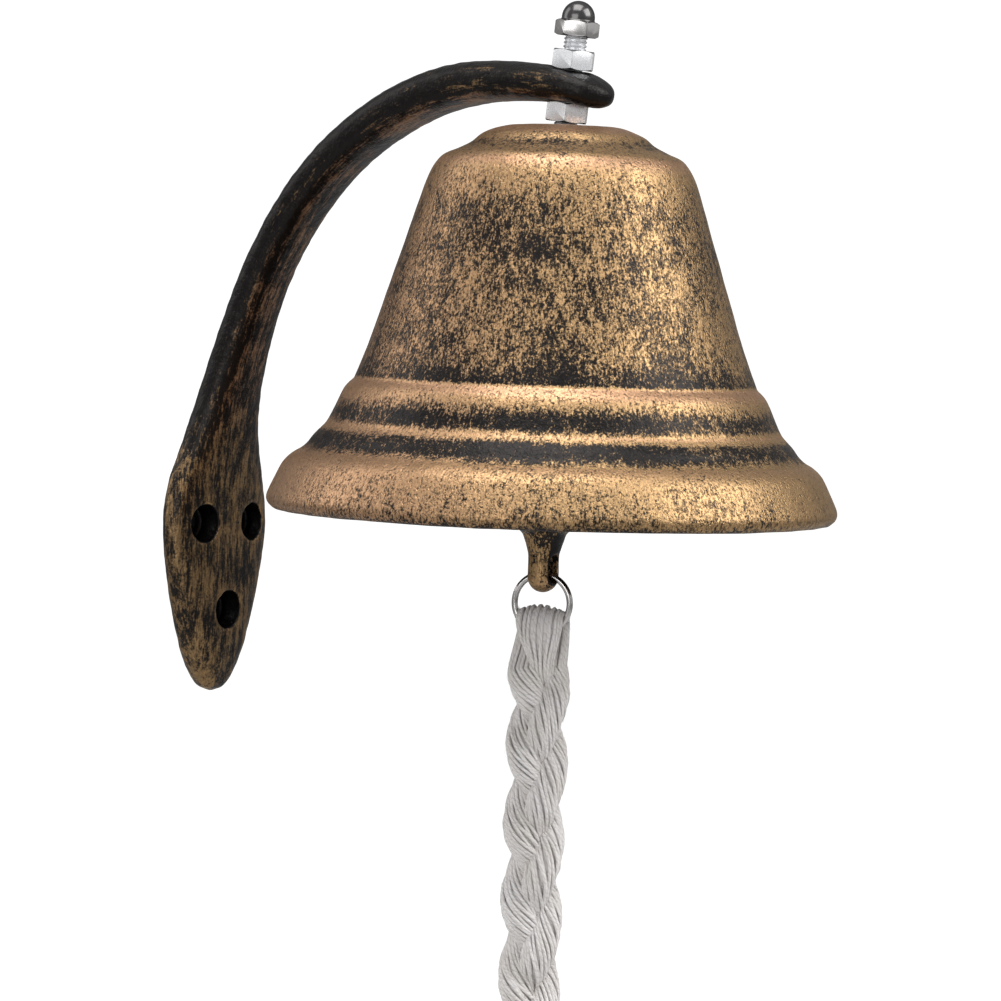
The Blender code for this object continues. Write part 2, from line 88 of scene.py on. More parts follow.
class BracketSizes(bpy.types.PropertyGroup):
    plate_drop: FloatProperty(
        name="Plate drop", description="Upper screws down to the plate's tip", default=0.0590, unit="LENGTH"
    )
    plate_half_width: FloatProperty(
        name="Plate half width", description="Half of the wall plate's width", default=0.0254, unit="LENGTH"
    )
    plate_half_depth: FloatProperty(
        name="Plate half depth", description="Half of the casting's depth at the plate", default=0.0077, unit="LENGTH"
    )
    plate_out: FloatProperty(
        name="Plate out", description="Middle of the plate's depth, from the wall", default=0.0060, unit="LENGTH"
    )
    arm_half_width: FloatProperty(
        name="Arm half width", description="Half of the arm's width", default=0.0110, unit="LENGTH"
    )
    arm_half_depth: FloatProperty(
        name="Arm half depth", description="Half of the arm's depth", default=0.0070, unit="LENGTH"
    )
    arm_end_half_width: FloatProperty(
        name="Arm end half width", description="Half of the arm's width at the stud", default=0.0120, unit="LENGTH"
    )
    nose_length: FloatProperty(
        name="Nose length", description="Stud to the nose's tip", default=0.0155, unit="LENGTH"
    )
    screw_spacing: FloatProperty(
        name="Screw spacing", description="Between the two upper screws", default=0.0252, unit="LENGTH"
    )
    screw_drop: FloatProperty(
        name="Screw drop", description="Upper screws down to the lower one", default=0.0302, unit="LENGTH"
    )
    screw_radius: FloatProperty(
        name="Screw hole radius", description="Radius of a screw hole", default=0.0031, unit="LENGTH"
    )
    recess_radius: FloatProperty(
        name="Recess radius", description="Radius of a screw head's recess", default=0.0065, unit="LENGTH"
    )
    recess_floor: FloatProperty(
        name="Recess floor", description="Metal left under a screw head", default=0.0045, unit="LENGTH"
    )
    skin: FloatProperty(
        name="Skin", description="Length of one facet of the cast skin", default=0.0005, unit="LENGTH"
    )


class BellSizes(bpy.types.PropertyGroup):
    mouth_radius: FloatProperty(
        name="Mouth radius",
        description="Radius of the bell's mouth",
        default=(BELL_HIGH.x - BELL_LOW.x) / 2,
        unit="LENGTH",
    )
    height: FloatProperty(
        name="Height", description="Rim to crown", default=BELL_HIGH.z - BELL_LOW.z, unit="LENGTH"
    )
    wall: FloatProperty(name="Wall", description="Thickness of the bell", default=0.0055, unit="LENGTH")
    hole_radius: FloatProperty(
        name="Hole radius", description="Hole in the crown", default=0.0053, unit="LENGTH"
    )
    steps: IntProperty(name="Steps", description="Facets round the bell", default=240)


class HardwareSizes(bpy.types.PropertyGroup):
    thread_radius: FloatProperty(
        name="Thread radius", description="Outer radius of the stud's thread", default=0.0039, unit="LENGTH"
    )
    pitch: FloatProperty(name="Pitch", description="Rise of one turn of thread", default=0.00125, unit="LENGTH")
    nut_flats: FloatProperty(
        name="Nut flats", description="Nut across its flats", default=0.0130, unit="LENGTH"
    )
    nut_height: FloatProperty(name="Nut height", description="Height of a nut", default=0.0064, unit="LENGTH")
    cap_flats: FloatProperty(
        name="Cap flats", description="Cap nut across its flats", default=0.0126, unit="LENGTH"
    )
    cap_height: FloatProperty(
        name="Cap height", description="Height of the cap nut", default=0.0116, unit="LENGTH"
    )
    dome_radius: FloatProperty(
        name="Dome radius", description="Radius of the cap nut's dome", default=0.0054, unit="LENGTH"
    )
    cap_turn: FloatProperty(
        name="Cap turn", description="Turn of the cap nut from the others", default=math.radians(30.0), subtype="ANGLE"
    )
    eye_radius: FloatProperty(
        name="Eye radius", description="Middle radius of the stud's eye", default=0.0070, unit="LENGTH"
    )
    eye_wire: FloatProperty(
        name="Eye wire", description="Radius of the eye's wire", default=0.00275, unit="LENGTH"
    )


class ClapperSizes(bpy.types.PropertyGroup):
    ball_radius: FloatProperty(
        name="Ball radius", description="Radius of the clapper's ball", default=0.0170, unit="LENGTH"
    )
    rod_radius: FloatProperty(
        name="Rod radius", description="Radius of the clapper's rod", default=0.0038, unit="LENGTH"
    )
    stem_radius: FloatProperty(
        name="Stem radius", description="Radius of the stem below the ball", default=0.0051, unit="LENGTH"
    )
    tab_thickness: FloatProperty(
        name="Tab thickness", description="Thickness of the slotted end", default=0.0072, unit="LENGTH"
    )
    link_wire: FloatProperty(
        name="Link wire", description="Radius of the link's wire", default=0.0015, unit="LENGTH"
    )
    ring_radius: FloatProperty(
        name="Ring radius", description="Middle radius of the pull ring", default=0.00945, unit="LENGTH"
    )
    ring_wire: FloatProperty(
        name="Ring wire", description="Radius of the pull ring's wire", default=0.00105, unit="LENGTH"
    )


class RopeSizes(bpy.types.PropertyGroup):
    diameter: FloatProperty(name="Diameter", description="Width of the plait", default=0.017, unit="LENGTH")
    period: FloatProperty(
        name="Period", description="Length of plait in which a strand comes back", default=0.076, unit="LENGTH"
    )
    yarn_radius: FloatProperty(
        name="Yarn radius", description="Radius of one cotton yarn", default=0.00064, unit="LENGTH"
    )
    yarns: IntProperty(name="Yarns", description="Yarns round one strand", default=20)
    half_swing: FloatProperty(
        name="Half swing", description="How far a strand goes to each side", default=0.0050, unit="LENGTH"
    )
    half_weave: FloatProperty(
        name="Half weave", description="How far a strand goes to the front and back", default=0.0033, unit="LENGTH"
    )
    strand_half_width: FloatProperty(
        name="Strand half width", description="Half of a strand's width, flattened", default=0.0043, unit="LENGTH"
    )
    strand_half_depth: FloatProperty(
        name="Strand half depth", description="Half of a strand's depth, flattened", default=0.0037, unit="LENGTH"
    )


class StageSizes(bpy.types.PropertyGroup):
    camera_place: FloatVectorProperty(
        name="Camera", description="Where the camera stands", default=(-1.0272, -0.8463, 0.0831), subtype="TRANSLATION"
    )
    camera_aim: FloatVectorProperty(
        name="Aim", description="Which way the camera looks", default=(0.8180, 0.5727, -0.0548), subtype="DIRECTION"
    )
    roll: FloatProperty(
        name="Roll", description="How far the camera is rolled", default=math.radians(1.85), subtype="ANGLE"
    )
    lens: FloatProperty(name="Lens", description="Focal length in millimetres", default=136.9)
    floor: FloatProperty(name="Floor", description="Height of the floor", default=-0.42, unit="LENGTH")


class FinishColours(bpy.types.PropertyGroup):
    gold: FloatVectorProperty(
        name="Gold", description="Rubbed bronze paint", default=(0.46, 0.290, 0.140), subtype="COLOR"
    )
    # Copper is also the painted highlight on the crests of the bell and the clapper and on the bell's left side.
    copper: FloatVectorProperty(
        name="Copper", description="Bronze where it is rubbed hardest", default=(0.56, 0.325, 0.195), subtype="COLOR"
    )
    black: FloatVectorProperty(
        name="Black", description="Ground coat of the castings", default=(0.012, 0.0105, 0.010), subtype="COLOR"
    )
    cotton: FloatVectorProperty(
        name="Cotton", description="Unbleached yarn", default=(0.81, 0.785, 0.775), subtype="COLOR"
    )


# ---- Working by hand -------------------------------------------------------------------------------------------


def lay_down():
    """Back to object mode with nothing selected."""
    if bpy.context.mode != "OBJECT":
        bpy.ops.object.mode_set(mode="OBJECT")
    bpy.ops.object.select_all(action="DESELECT")


def pick_up(obj):
    lay_down()
    obj.select_set(True)
    bpy.context.view_layer.objects.active = obj
    return obj


def named(name):
    obj = bpy.context.object
    obj.name = name
    obj.data.name = name
    return obj


def applied(obj, kind, **settings):
    """Adds a modifier with these settings and applies it."""
    pick_up(obj)
    modifier = obj.modifiers.new(kind.title(), kind)
    for key, value in settings.items():
        setattr(modifier, key, value)
    bpy.ops.object.modifier_apply(modifier=modifier.name)
    return obj


def placed(obj, matrix):
    """Stands the piece there, with its place in its mesh."""
    pick_up(obj)
    obj.matrix_world = matrix
    bpy.ops.object.transform_apply(location=True, rotation=True, scale=True)
    return obj


def joined(obj, other, operation="DIFFERENCE"):
    """Cuts another shape from the piece, or welds it on."""
    applied(obj, "BOOLEAN", operation=operation, object=other, solver="EXACT")
    bpy.data.objects.remove(other)
    return obj


def turned(name, profile, steps):
    """A profile (r, z) drawn by extruding a point, then spun round Z."""
    lay_down()
    bpy.ops.mesh.primitive_plane_add(size=0.01, location=(0, 0, 0))
    obj = named(name)
    bpy.ops.object.mode_set(mode="EDIT")
    bpy.ops.mesh.select_mode(type="VERT")
    bpy.ops.mesh.select_all(action="SELECT")
    bpy.ops.mesh.merge(type="CENTER")
    bpy.ops.transform.translate(value=(profile[0][0], 0, profile[0][1]))
    for (r, z), (next_r, next_z) in zip(profile, profile[1:]):
        bpy.ops.mesh.extrude_vertices_move(TRANSFORM_OT_translate={"value": (next_r - r, 0, next_z - z)})
    bpy.ops.mesh.select_all(action="SELECT")
    bpy.ops.mesh.spin(steps=steps, angle=2 * math.pi, center=(0, 0, 0), axis=(0, 0, 1))
    bpy.ops.mesh.select_all(action="SELECT")
    bpy.ops.mesh.remove_doubles(threshold=0.000002)
    bpy.ops.mesh.normals_make_consistent(inside=False)
    lay_down()
    return obj


def smoothed(obj, degrees=35):
    pick_up(obj)
    bpy.ops.object.shade_smooth_by_angle(angle=math.radians(degrees))
    return obj


def through(points, steps):
    """Points on a smooth curve through the given ones, with this many steps between two of them."""
    points = [Vector(p) for p in points]
    ends = [2 * points[0] - points[1], *points, 2 * points[-1] - points[-2]]
    found = []
    for a, b, c, d in zip(ends, ends[1:], ends[2:], ends[3:]):
        for step in range(steps):
            t = step / steps
            bend = 2 * a - 5 * b + 4 * c - d
            twist = 3 * b - a - 3 * c + d
            found.append(b + 0.5 * ((c - a) * t + bend * t**2 + twist * t**3))
    found.append(points[-1])
    return found


def arc(centre, radius, start, end, steps):
    turns = [math.radians(start + (end - start) * i / steps) for i in range(steps + 1)]
    return [(centre[0] + radius * math.cos(t), centre[1] + radius * math.sin(t)) for t in turns]


def points_of(obj, kind="co"):
    found = np.empty(len(obj.data.vertices) * 3)
    obj.data.vertices.foreach_get(kind, found)
    return found.reshape(-1, 3)


def mark_crests(obj, passes, depth):
    """Stores how far each point stands proud of its surroundings, as a share of this depth."""
    place = points_of(obj)
    count = len(place)
    ends = np.empty(len(obj.data.edges) * 2, np.int32)
    obj.data.edges.foreach_get("vertices", ends)
    here, there = ends.reshape(-1, 2).T
    degree = np.bincount(ends, minlength=count)[:, None]
    near = place.copy()
    for _ in range(passes):
        total = np.empty_like(near)
        for axis in range(3):
            total[:, axis] = np.bincount(here, near[there, axis], count) + np.bincount(there, near[here, axis], count)
        near = 0.5 * near + 0.5 * total / degree
    proud = ((place - near) * points_of(obj, "normal")).sum(1) / depth
    crest = obj.data.attributes.new("crest", "FLOAT", "POINT")
    crest.data.foreach_set("value", np.clip(proud, -1, 1).astype(np.float32))


def cast_skin(obj, facet, smoothing, relief, grain, seed):
    """Turns a piece into one soft skin with the slight unevenness of sand casting."""
    applied(obj, "REMESH", mode="VOXEL", voxel_size=facet, use_smooth_shade=True)
    applied(obj, "SMOOTH", factor=0.5, iterations=smoothing)
    lumps = bpy.data.textures.new(f"{obj.name}_lumps_{seed}", "CLOUDS")
    lumps.noise_scale = grain
    lumps.noise_depth = 1
    applied(obj, "DISPLACE", texture=lumps, strength=relief, mid_level=0.5, texture_coords="LOCAL")
    return obj


def finished(obj, material, body, slot, *nodes):
    """Gives the piece its material, lets it ride on its body and stand for its CAD nodes."""
    obj.data.materials.clear()
    obj.data.materials.append(material)
    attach(obj, body)
    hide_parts(*nodes)
    return obj


# ---- Finishes --------------------------------------------------------------------------------------------------


def put(tree, kind, settings=None, **inputs):
    """A new shader node. Inputs are named with _ for a space, and take a value or another node's output."""
    made = tree.nodes.new(kind)
    for key, value in (settings or {}).items():
        setattr(made, key, value)
    for key, value in inputs.items():
        socket = made.inputs[key.replace("_", " ")]
        if isinstance(value, bpy.types.NodeSocket):
            tree.links.new(value, socket)
        else:
            socket.default_value = value
    return made


def sum_of(tree, operation, a, b=0.0, c=0.0, clamp=False):
    made = tree.nodes.new("ShaderNodeMath")
    made.operation = operation
    made.use_clamp = clamp
    for socket, value in zip(made.inputs, (a, b, c)):
        if isinstance(value, bpy.types.NodeSocket):
            tree.links.new(value, socket)
        else:
            socket.default_value = value
    return made.outputs[0]


def mixed(tree, share, a, b, way="MIX"):
    made = tree.nodes.new("ShaderNodeMix")
    made.data_type = "RGBA"
    made.blend_type = way
    for index, value in ((0, share), (6, a), (7, b)):
        if isinstance(value, bpy.types.NodeSocket):
            tree.links.new(value, made.inputs[index])
        else:
            made.inputs[index].default_value = value
    return made.outputs[2]


def ranged(tree, value, low, high, to_low=0.0, to_high=1.0, soft=True):
    made = put(
        tree,
        "ShaderNodeMapRange",
        {"interpolation_type": "SMOOTHSTEP" if soft else "LINEAR"},
        Value=value,
        From_Min=low,
        From_Max=high,
        To_Min=to_low,
        To_Max=to_high,
    )
    return made.outputs[0]


def noise(tree, vector, scale, detail=2.0, roughness=0.5, distortion=0.0):
    made = put(
        tree,
        "ShaderNodeTexNoise",
        Vector=vector,
        Scale=scale,
        Detail=detail,
        Roughness=roughness,
        Distortion=distortion,
    )
    return made.outputs["Fac"]


def stretched(tree, vector, scale=(1, 1, 1), turn=(0, 0, 0), shift=(0, 0, 0)):
    made = put(tree, "ShaderNodeMapping", Vector=vector, Scale=scale, Rotation=turn, Location=shift)
    return made.outputs[0]


def effect(name, inputs, outputs):
    """An empty node group with these sockets, and its input and output nodes."""
    tree = bpy.data.node_groups.new(name, "ShaderNodeTree")
    for label, kind, value in inputs:
        socket = tree.interface.new_socket(label, in_out="INPUT", socket_type=kind)
        if value is not None:
            socket.default_value = value
    for label, kind in outputs:
        tree.interface.new_socket(label, in_out="OUTPUT", socket_type=kind)
    return tree, tree.nodes.new("NodeGroupInput").outputs, tree.nodes.new("NodeGroupOutput").inputs


def use(tree, group, **inputs):
    made = tree.nodes.new("ShaderNodeGroup")
    made.node_tree = group
    for key, value in inputs.items():
        socket = made.inputs[key.replace("_", " ")]
        if isinstance(value, bpy.types.NodeSocket):
            tree.links.new(value, socket)
        else:
            socket.default_value = value
    return made.outputs


def cast_grain_effect():
    """Orange peel and pits of a sand casting under paint."""
    name = "Cast grain"
    if name in bpy.data.node_groups:
        return bpy.data.node_groups[name]
    tree, given, out = effect(
        name,
        [("Vector", "NodeSocketVector", None), ("Coarseness", "NodeSocketFloat", 1.0)],
        [("Height", "NodeSocketFloat"), ("Pits", "NodeSocketFloat")],
    )
    scale = sum_of(tree, "DIVIDE", 1000.0, given["Coarseness"])
    spot = put(tree, "ShaderNodeVectorMath", {"operation": "SCALE"}, Vector=given["Vector"], Scale=scale)
    place = spot.outputs[0]
    peel = noise(tree, place, 0.42, 2.0, 0.55)
    fine = noise(tree, place, 1.25, 2.0, 0.6)
    pits = ranged(tree, noise(tree, stretched(tree, place, shift=(31.0, 7.0, 3.0)), 1.05, 1.0), 0.30, 0.46)
    height = sum_of(tree, "MULTIPLY_ADD", peel, 0.62, sum_of(tree, "MULTIPLY", fine, 0.38))
    tree.links.new(sum_of(tree, "MULTIPLY_ADD", pits, 0.22, height), out["Height"])
    tree.links.new(pits, out["Pits"])
    return tree


def rubbed_effect():
    """Where bronze paint has been rubbed on over black: on crests and along the strokes, less in hollows."""
    name = "Rubbed bronze"
    if name in bpy.data.node_groups:
        return bpy.data.node_groups[name]
    tree, given, out = effect(
        name,
        [
            ("Vector", "NodeSocketVector", None),
            ("Strokes", "NodeSocketVector", None),
            ("Cover", "NodeSocketFloat", 0.5),
            ("Cloud Pull", "NodeSocketFloat", 0.5),
            ("Stroke Pull", "NodeSocketFloat", 0.5),
            ("Sharpness", "NodeSocketFloat", 0.09),
            ("Cloud Size", "NodeSocketFloat", 30.0),
        ],
        [("Bronze", "NodeSocketFloat"), ("Fleck", "NodeSocketFloat")],
    )
    in_mm = put(tree, "ShaderNodeVectorMath", {"operation": "SCALE"}, Vector=given["Vector"], Scale=1000.0).outputs[0]
    strokes_mm = put(tree, "ShaderNodeVectorMath", {"operation": "SCALE"}, Vector=given["Strokes"], Scale=1000.0)
    cloud_scale = sum_of(tree, "DIVIDE", 1.0, given["Cloud Size"])
    clouds = sum_of(tree, "SUBTRACT", noise(tree, in_mm, cloud_scale, 3.0, 0.6), 0.5)
    strokes = sum_of(tree, "SUBTRACT", noise(tree, strokes_mm.outputs[0], 0.42, 3.0, 0.7), 0.5)
    fine = noise(tree, in_mm, 1.15, 3.0, 0.75)
    grain = noise(tree, strokes_mm.outputs[0], 1.5, 2.0, 0.7)
    bias = sum_of(tree, "MULTIPLY_ADD", clouds, given["Cloud Pull"], given["Cover"])
    bias = sum_of(tree, "MULTIPLY_ADD", strokes, given["Stroke Pull"], bias)
    mottle = sum_of(tree, "MULTIPLY_ADD", fine, 0.55, sum_of(tree, "MULTIPLY", grain, 0.45))
    over = sum_of(tree, "SUBTRACT", sum_of(tree, "ADD", mottle, bias), 1.0)
    edge = given["Sharpness"]
    rubbed = put(
        tree,
        "ShaderNodeMapRange",
        {"interpolation_type": "SMOOTHSTEP"},
        Value=over,
        From_Min=sum_of(tree, "MULTIPLY", edge, -1.0),
        From_Max=edge,
    )
    tree.links.new(rubbed.outputs[0], out["Bronze"])
    tree.links.new(grain, out["Fleck"])
    return tree


def scratch_effect():
    """Fine wear of plated steel: hairlines and slight clouding."""
    name = "Plating wear"
    if name in bpy.data.node_groups:
        return bpy.data.node_groups[name]
    tree, given, out = effect(
        name,
        [("Vector", "NodeSocketVector", None), ("Wear", "NodeSocketFloat", 0.5)],
        [("Clouding", "NodeSocketFloat"), ("Height", "NodeSocketFloat")],
    )
    in_mm = put(tree, "ShaderNodeVectorMath", {"operation": "SCALE"}, Vector=given["Vector"], Scale=1000.0).outputs[0]
    clouds = noise(tree, in_mm, 0.55, 4.0, 0.65)
    hair = noise(tree, stretched(tree, in_mm, (6.0, 0.4, 6.0), (0.6, 0.3, 0.9)), 1.0, 3.0, 0.7)
    grain = noise(tree, in_mm, 5.0, 2.0, 0.6)
    cloudy = sum_of(tree, "MULTIPLY", ranged(tree, clouds, 0.35, 0.75), given["Wear"])
    height = sum_of(tree, "MULTIPLY_ADD", hair, 0.5, sum_of(tree, "MULTIPLY", grain, 0.5))
    tree.links.new(cloudy, out["Clouding"])
    tree.links.new(height, out["Height"])
    return tree


def laid_out(tree):
    """Sets the nodes in columns by how far they are from the output."""
    depth = {node: 0 for node in tree.nodes}
    for _ in tree.nodes:
        for link in tree.links:
            depth[link.from_node] = max(depth[link.from_node], depth[link.to_node] + 1)
    rows = {}
    for node in tree.nodes:
        column = depth[node]
        node.location = (-230 * column, -190 * rows.get(column, 0))
        rows[column] = rows.get(column, 0) + 1


def new_material(name):
    material = bpy.data.materials.new(name)
    material.use_nodes = True
    tree = material.node_tree
    return material, tree, tree.nodes["Principled BSDF"].inputs


def read(tree, name, output="Fac"):
    return put(tree, "ShaderNodeAttribute", {"attribute_name": name}).outputs[output]


def bump(tree, height, strength, distance):
    return put(tree, "ShaderNodeBump", Height=height, Strength=strength, Distance=distance).outputs[0]


def opaque(colour):
    return (*colour, 1.0)


def rubbed_material(
    name, strokes_from, cover_from, warmth_and_highlight_from, cloud_pull, stroke_pull, cloud_size, sharpness=0.06, shade=1.0
):
    """Bronze brushed over black on a casting. The functions make the strokes' vector, the cover and the warmth. On the
    bell and the clapper the warmth is a painted copper highlight, and on the bell the cover also holds painted shade in
    its middle.
    """
    finish = bpy.context.scene.bell_finish
    material, tree, shader = new_material(name)
    here = put(tree, "ShaderNodeTexCoord").outputs["Object"]
    rubbed = use(
        tree,
        rubbed_effect(),
        Vector=here,
        Strokes=strokes_from(tree, here),
        Cover=cover_from(tree, here),
        Cloud_Pull=cloud_pull,
        Stroke_Pull=stroke_pull,
        Cloud_Size=cloud_size,
        Sharpness=sharpness,
    )
    grain = use(tree, cast_grain_effect(), Vector=here, Coarseness=1.0)
    gold = opaque([channel * shade for channel in finish.gold])
    copper = opaque([channel * shade for channel in finish.copper])
    # The copper mixed in here is a painted highlight on the bell and the clapper, and the redder underside of the arm
    # on the bracket.
    bronze = mixed(tree, warmth_and_highlight_from(tree, here), gold, copper)
    dusty = ranged(tree, rubbed["Fleck"], 0.35, 0.70, 0.38, 0.0)
    bronze = mixed(tree, dusty, bronze, opaque([channel * 0.25 * shade for channel in finish.gold]))
    share = sum_of(tree, "MULTIPLY", rubbed["Bronze"], ranged(tree, grain["Pits"], 0.0, 0.5, 0.45, 1.0))
    tree.links.new(mixed(tree, share, opaque(finish.black), bronze), shader["Base Color"])
    tree.links.new(sum_of(tree, "MULTIPLY_ADD", share, 0.10, 0.82), shader["Metallic"])
    tree.links.new(sum_of(tree, "MULTIPLY_ADD", share, 0.06, 0.33), shader["Roughness"])
    relief = sum_of(tree, "MULTIPLY_ADD", share, 0.22, grain["Height"])
    tree.links.new(bump(tree, relief, 0.6, 0.0005), shader["Normal"])
    laid_out(tree)
    return material


def toward_right(tree, here):
    """Place across the bell as it hangs seen from the room's left, -1 to 1."""
    made = put(tree, "ShaderNodeVectorMath", {"operation": "DOT_PRODUCT"})
    tree.links.new(here, made.inputs[0])
    made.inputs[1].default_value = (0.574, -0.819, 0.0)
    centred = sum_of(tree, "ADD", made.outputs["Value"], 0.819 * BELL_AXIS_Y)
    return sum_of(tree, "DIVIDE", centred, 0.09)


def bell_rubbing(tree, here):
    cover = sum_of(tree, "MULTIPLY_ADD", read(tree, "rub"), 0.33, 0.285)
    # Painted shade: more black in the middle of the bell as the camera sees it, more bronze towards its sides.
    off_centre = sum_of(tree, "ABSOLUTE", sum_of(tree, "ADD", toward_right(tree, here), 0.1))
    return sum_of(tree, "MULTIPLY_ADD", off_centre, 0.09, cover)


def bell_painted_highlight(tree, here):
    # Painted highlight: copper on the crown and the ridges' crests, and on the bell's left side as the camera sees it.
    crests = ranged(tree, read(tree, "rub"), 0.80, 1.0, 0.0, 0.85)
    left = ranged(tree, toward_right(tree, here), 0.1, -0.8, 0.0, 0.7)
    return sum_of(tree, "MAXIMUM", crests, left)


def clapper_rubbing(tree, here):
    cover = sum_of(tree, "MULTIPLY_ADD", read(tree, "crest"), 0.16, 0.49)
    return sum_of(tree, "MULTIPLY_ADD", read(tree, "recess"), -0.6, cover)


def crest_painted_highlight(tree, here):
    # Painted highlight: copper on the clapper's crests.
    return ranged(tree, read(tree, "crest"), 0.1, 0.9)


def bracket_rubbing(tree, here):
    """Most bronze on the arm's sides and the plate's face, little on its outer edge, none in the recesses and nose."""
    lay = put(tree, "ShaderNodeSeparateXYZ", Vector=read(tree, "lay", "Vector")).outputs
    on_arm = ranged(tree, lay["X"], 0.066, 0.100)
    outer = sum_of(tree, "MULTIPLY", on_arm, ranged(tree, lay["Z"], 0.0, 0.0100, -0.30, 0.0))
    out = put(tree, "ShaderNodeSeparateXYZ", Vector=here).outputs["Y"]
    nose = ranged(tree, out, -REACH - 0.010, -REACH - 0.003, -0.26, 0.0)
    over = ranged(tree, out, -REACH + 0.010, -REACH + 0.055, 0.10, 0.0)
    cover = sum_of(tree, "ADD", sum_of(tree, "ADD", sum_of(tree, "ADD", outer, over), nose), 0.470)
    cover = sum_of(tree, "MULTIPLY_ADD", read(tree, "crest"), 0.10, cover)
    return sum_of(tree, "MULTIPLY_ADD", read(tree, "recess"), -0.6, cover)


def bracket_warmth(tree, here):
    """The arm's underside, facing the bell, is redder."""
    lay = put(tree, "ShaderNodeSeparateXYZ", Vector=read(tree, "lay", "Vector")).outputs
    under = ranged(tree, lay["Z"], 0.001, 0.006, 0.0, 0.9)
    return sum_of(tree, "MULTIPLY", under, ranged(tree, lay["X"], 0.085, 0.110))


def bell_strokes(tree, here):
    return stretched(tree, here, (1.0, 1.0, 0.42), (0.25, -0.2, 0.0))


def bracket_strokes(tree, here):
    lay = read(tree, "lay", "Vector")
    return stretched(tree, lay, (0.16, 1.0, 1.0))


def plated_material(name, colour, dull, roughness, wear, height, metal=1.0):
    """Plated or bare steel, with hairlines and slight clouding, and painted dark reflections on the eased edges."""
    material, tree, shader = new_material(name)
    here = put(tree, "ShaderNodeTexCoord").outputs["Object"]
    worn = use(tree, scratch_effect(), Vector=here, Wear=wear)
    tone = mixed(tree, worn["Clouding"], opaque(colour), opaque(dull))
    # Painted reflection: the narrow eased edges stored as crest are darkened towards 6% of the plating's colour.
    edges = ranged(tree, read(tree, "crest"), 0.25, 0.85, 0.0, 0.9)
    tree.links.new(mixed(tree, edges, tone, opaque([channel * 0.06 for channel in colour])), shader["Base Color"])
    tree.links.new(sum_of(tree, "MULTIPLY_ADD", worn["Clouding"], 0.22, roughness), shader["Roughness"])
    tree.links.new(bump(tree, worn["Height"], height, 0.00003), shader["Normal"])
    shader["Metallic"].default_value = metal
    return material, tree


def cotton_material():
    """Soft spun yarn: two plies twisted together, loose fibre, slight shading from yarn to yarn, and painted shade in
    the grooves between the plies.
    """
    finish = bpy.context.scene.bell_finish
    material, tree, shader = new_material("plaited_cotton")
    uv = put(tree, "ShaderNodeUVMap", {"uv_map": "yarn"}).outputs[0]
    parts = put(tree, "ShaderNodeSeparateXYZ", Vector=uv)
    here = put(tree, "ShaderNodeTexCoord").outputs["Object"]
    in_mm = stretched(tree, here, (1000.0, 1000.0, 1000.0))
    wander = sum_of(tree, "MULTIPLY", noise(tree, in_mm, 0.25, 2.0), 1.2)
    turn = sum_of(tree, "MULTIPLY_ADD", parts.outputs["X"], 0.21, sum_of(tree, "ADD", parts.outputs["Y"], wander))
    plies = sum_of(tree, "SINE", sum_of(tree, "MULTIPLY", turn, 4 * math.pi))
    ply = sum_of(tree, "MULTIPLY_ADD", plies, 0.5, 0.5)
    fibre_lay = put(tree, "ShaderNodeCombineXYZ", X=sum_of(tree, "MULTIPLY", parts.outputs["X"], 0.5), Y=turn)
    fibres = noise(tree, fibre_lay.outputs[0], 9.0, 3.0, 0.7)
    fluff = noise(tree, in_mm, 2.6, 3.0, 0.7)
    tint = noise(tree, in_mm, 0.11, 2.0)
    pale = opaque(finish.cotton)
    warm = opaque((finish.cotton[0] * 0.94, finish.cotton[1] * 0.925, finish.cotton[2] * 0.90))
    colour = mixed(tree, ranged(tree, tint, 0.35, 0.65), pale, warm)
    # Painted shade: the grooves between the plies and fibres are mixed towards a cotton at 60% of its brightness.
    dark = opaque((finish.cotton[0] * 0.60, finish.cotton[1] * 0.57, finish.cotton[2] * 0.55))
    painted_groove_shade = ranged(tree, sum_of(tree, "MULTIPLY_ADD", fibres, 0.35, ply), 0.05, 0.55, 0.55, 0.0)
    colour = mixed(tree, painted_groove_shade, colour, dark)
    tree.links.new(colour, shader["Base Color"])
    raised = sum_of(tree, "MULTIPLY_ADD", fibres, 0.5, ply)
    raised = sum_of(tree, "MULTIPLY_ADD", fluff, 0.6, raised)
    tree.links.new(bump(tree, raised, 0.7, 0.00016), shader["Normal"])
    shader["Roughness"].default_value = 0.95
    shader["Sheen Weight"].default_value = 0.25
    shader["Sheen Roughness"].default_value = 0.5
    laid_out(tree)
    return material


def kept(name, build):
    """The material of this name, made the first time it is asked for."""
    return bpy.data.materials.get(name) or build()


def zinc():
    return kept("bright_zinc", lambda: made_plated("bright_zinc", (0.92, 0.93, 0.95), (0.72, 0.73, 0.76), 0.22, 0.6, 0.3, 0.55))


def chrome():
    return kept(
        "polished_nickel", lambda: made_plated("polished_nickel", (0.68, 0.66, 0.655), (0.50, 0.485, 0.48), 0.20, 0.4, 0.12)
    )


def wire_steel():
    return kept("drawn_wire", lambda: made_plated("drawn_wire", (0.56, 0.54, 0.53), (0.34, 0.33, 0.32), 0.16, 0.5, 0.2))


def made_plated(*given):
    material, tree = plated_material(*given)
    laid_out(tree)
    return material


def cotton():
    return kept("plaited_cotton", cotton_material)


# ---- Wall bracket ----------------------------------------------------------------------------------------------

# The plate's leaf: height as a share of its drop, half width and half depth as shares of its own.
LEAF = (
    (-1.000, 0.030, 0.10),
    (-0.963, 0.225, 0.52),
    (-0.847, 0.430, 0.80),
    (-0.678, 0.615, 0.94),
    (-0.407, 0.830, 0.99),
    (-0.068, 1.000, 0.96),
    (0.203, 0.925, 0.99),
)
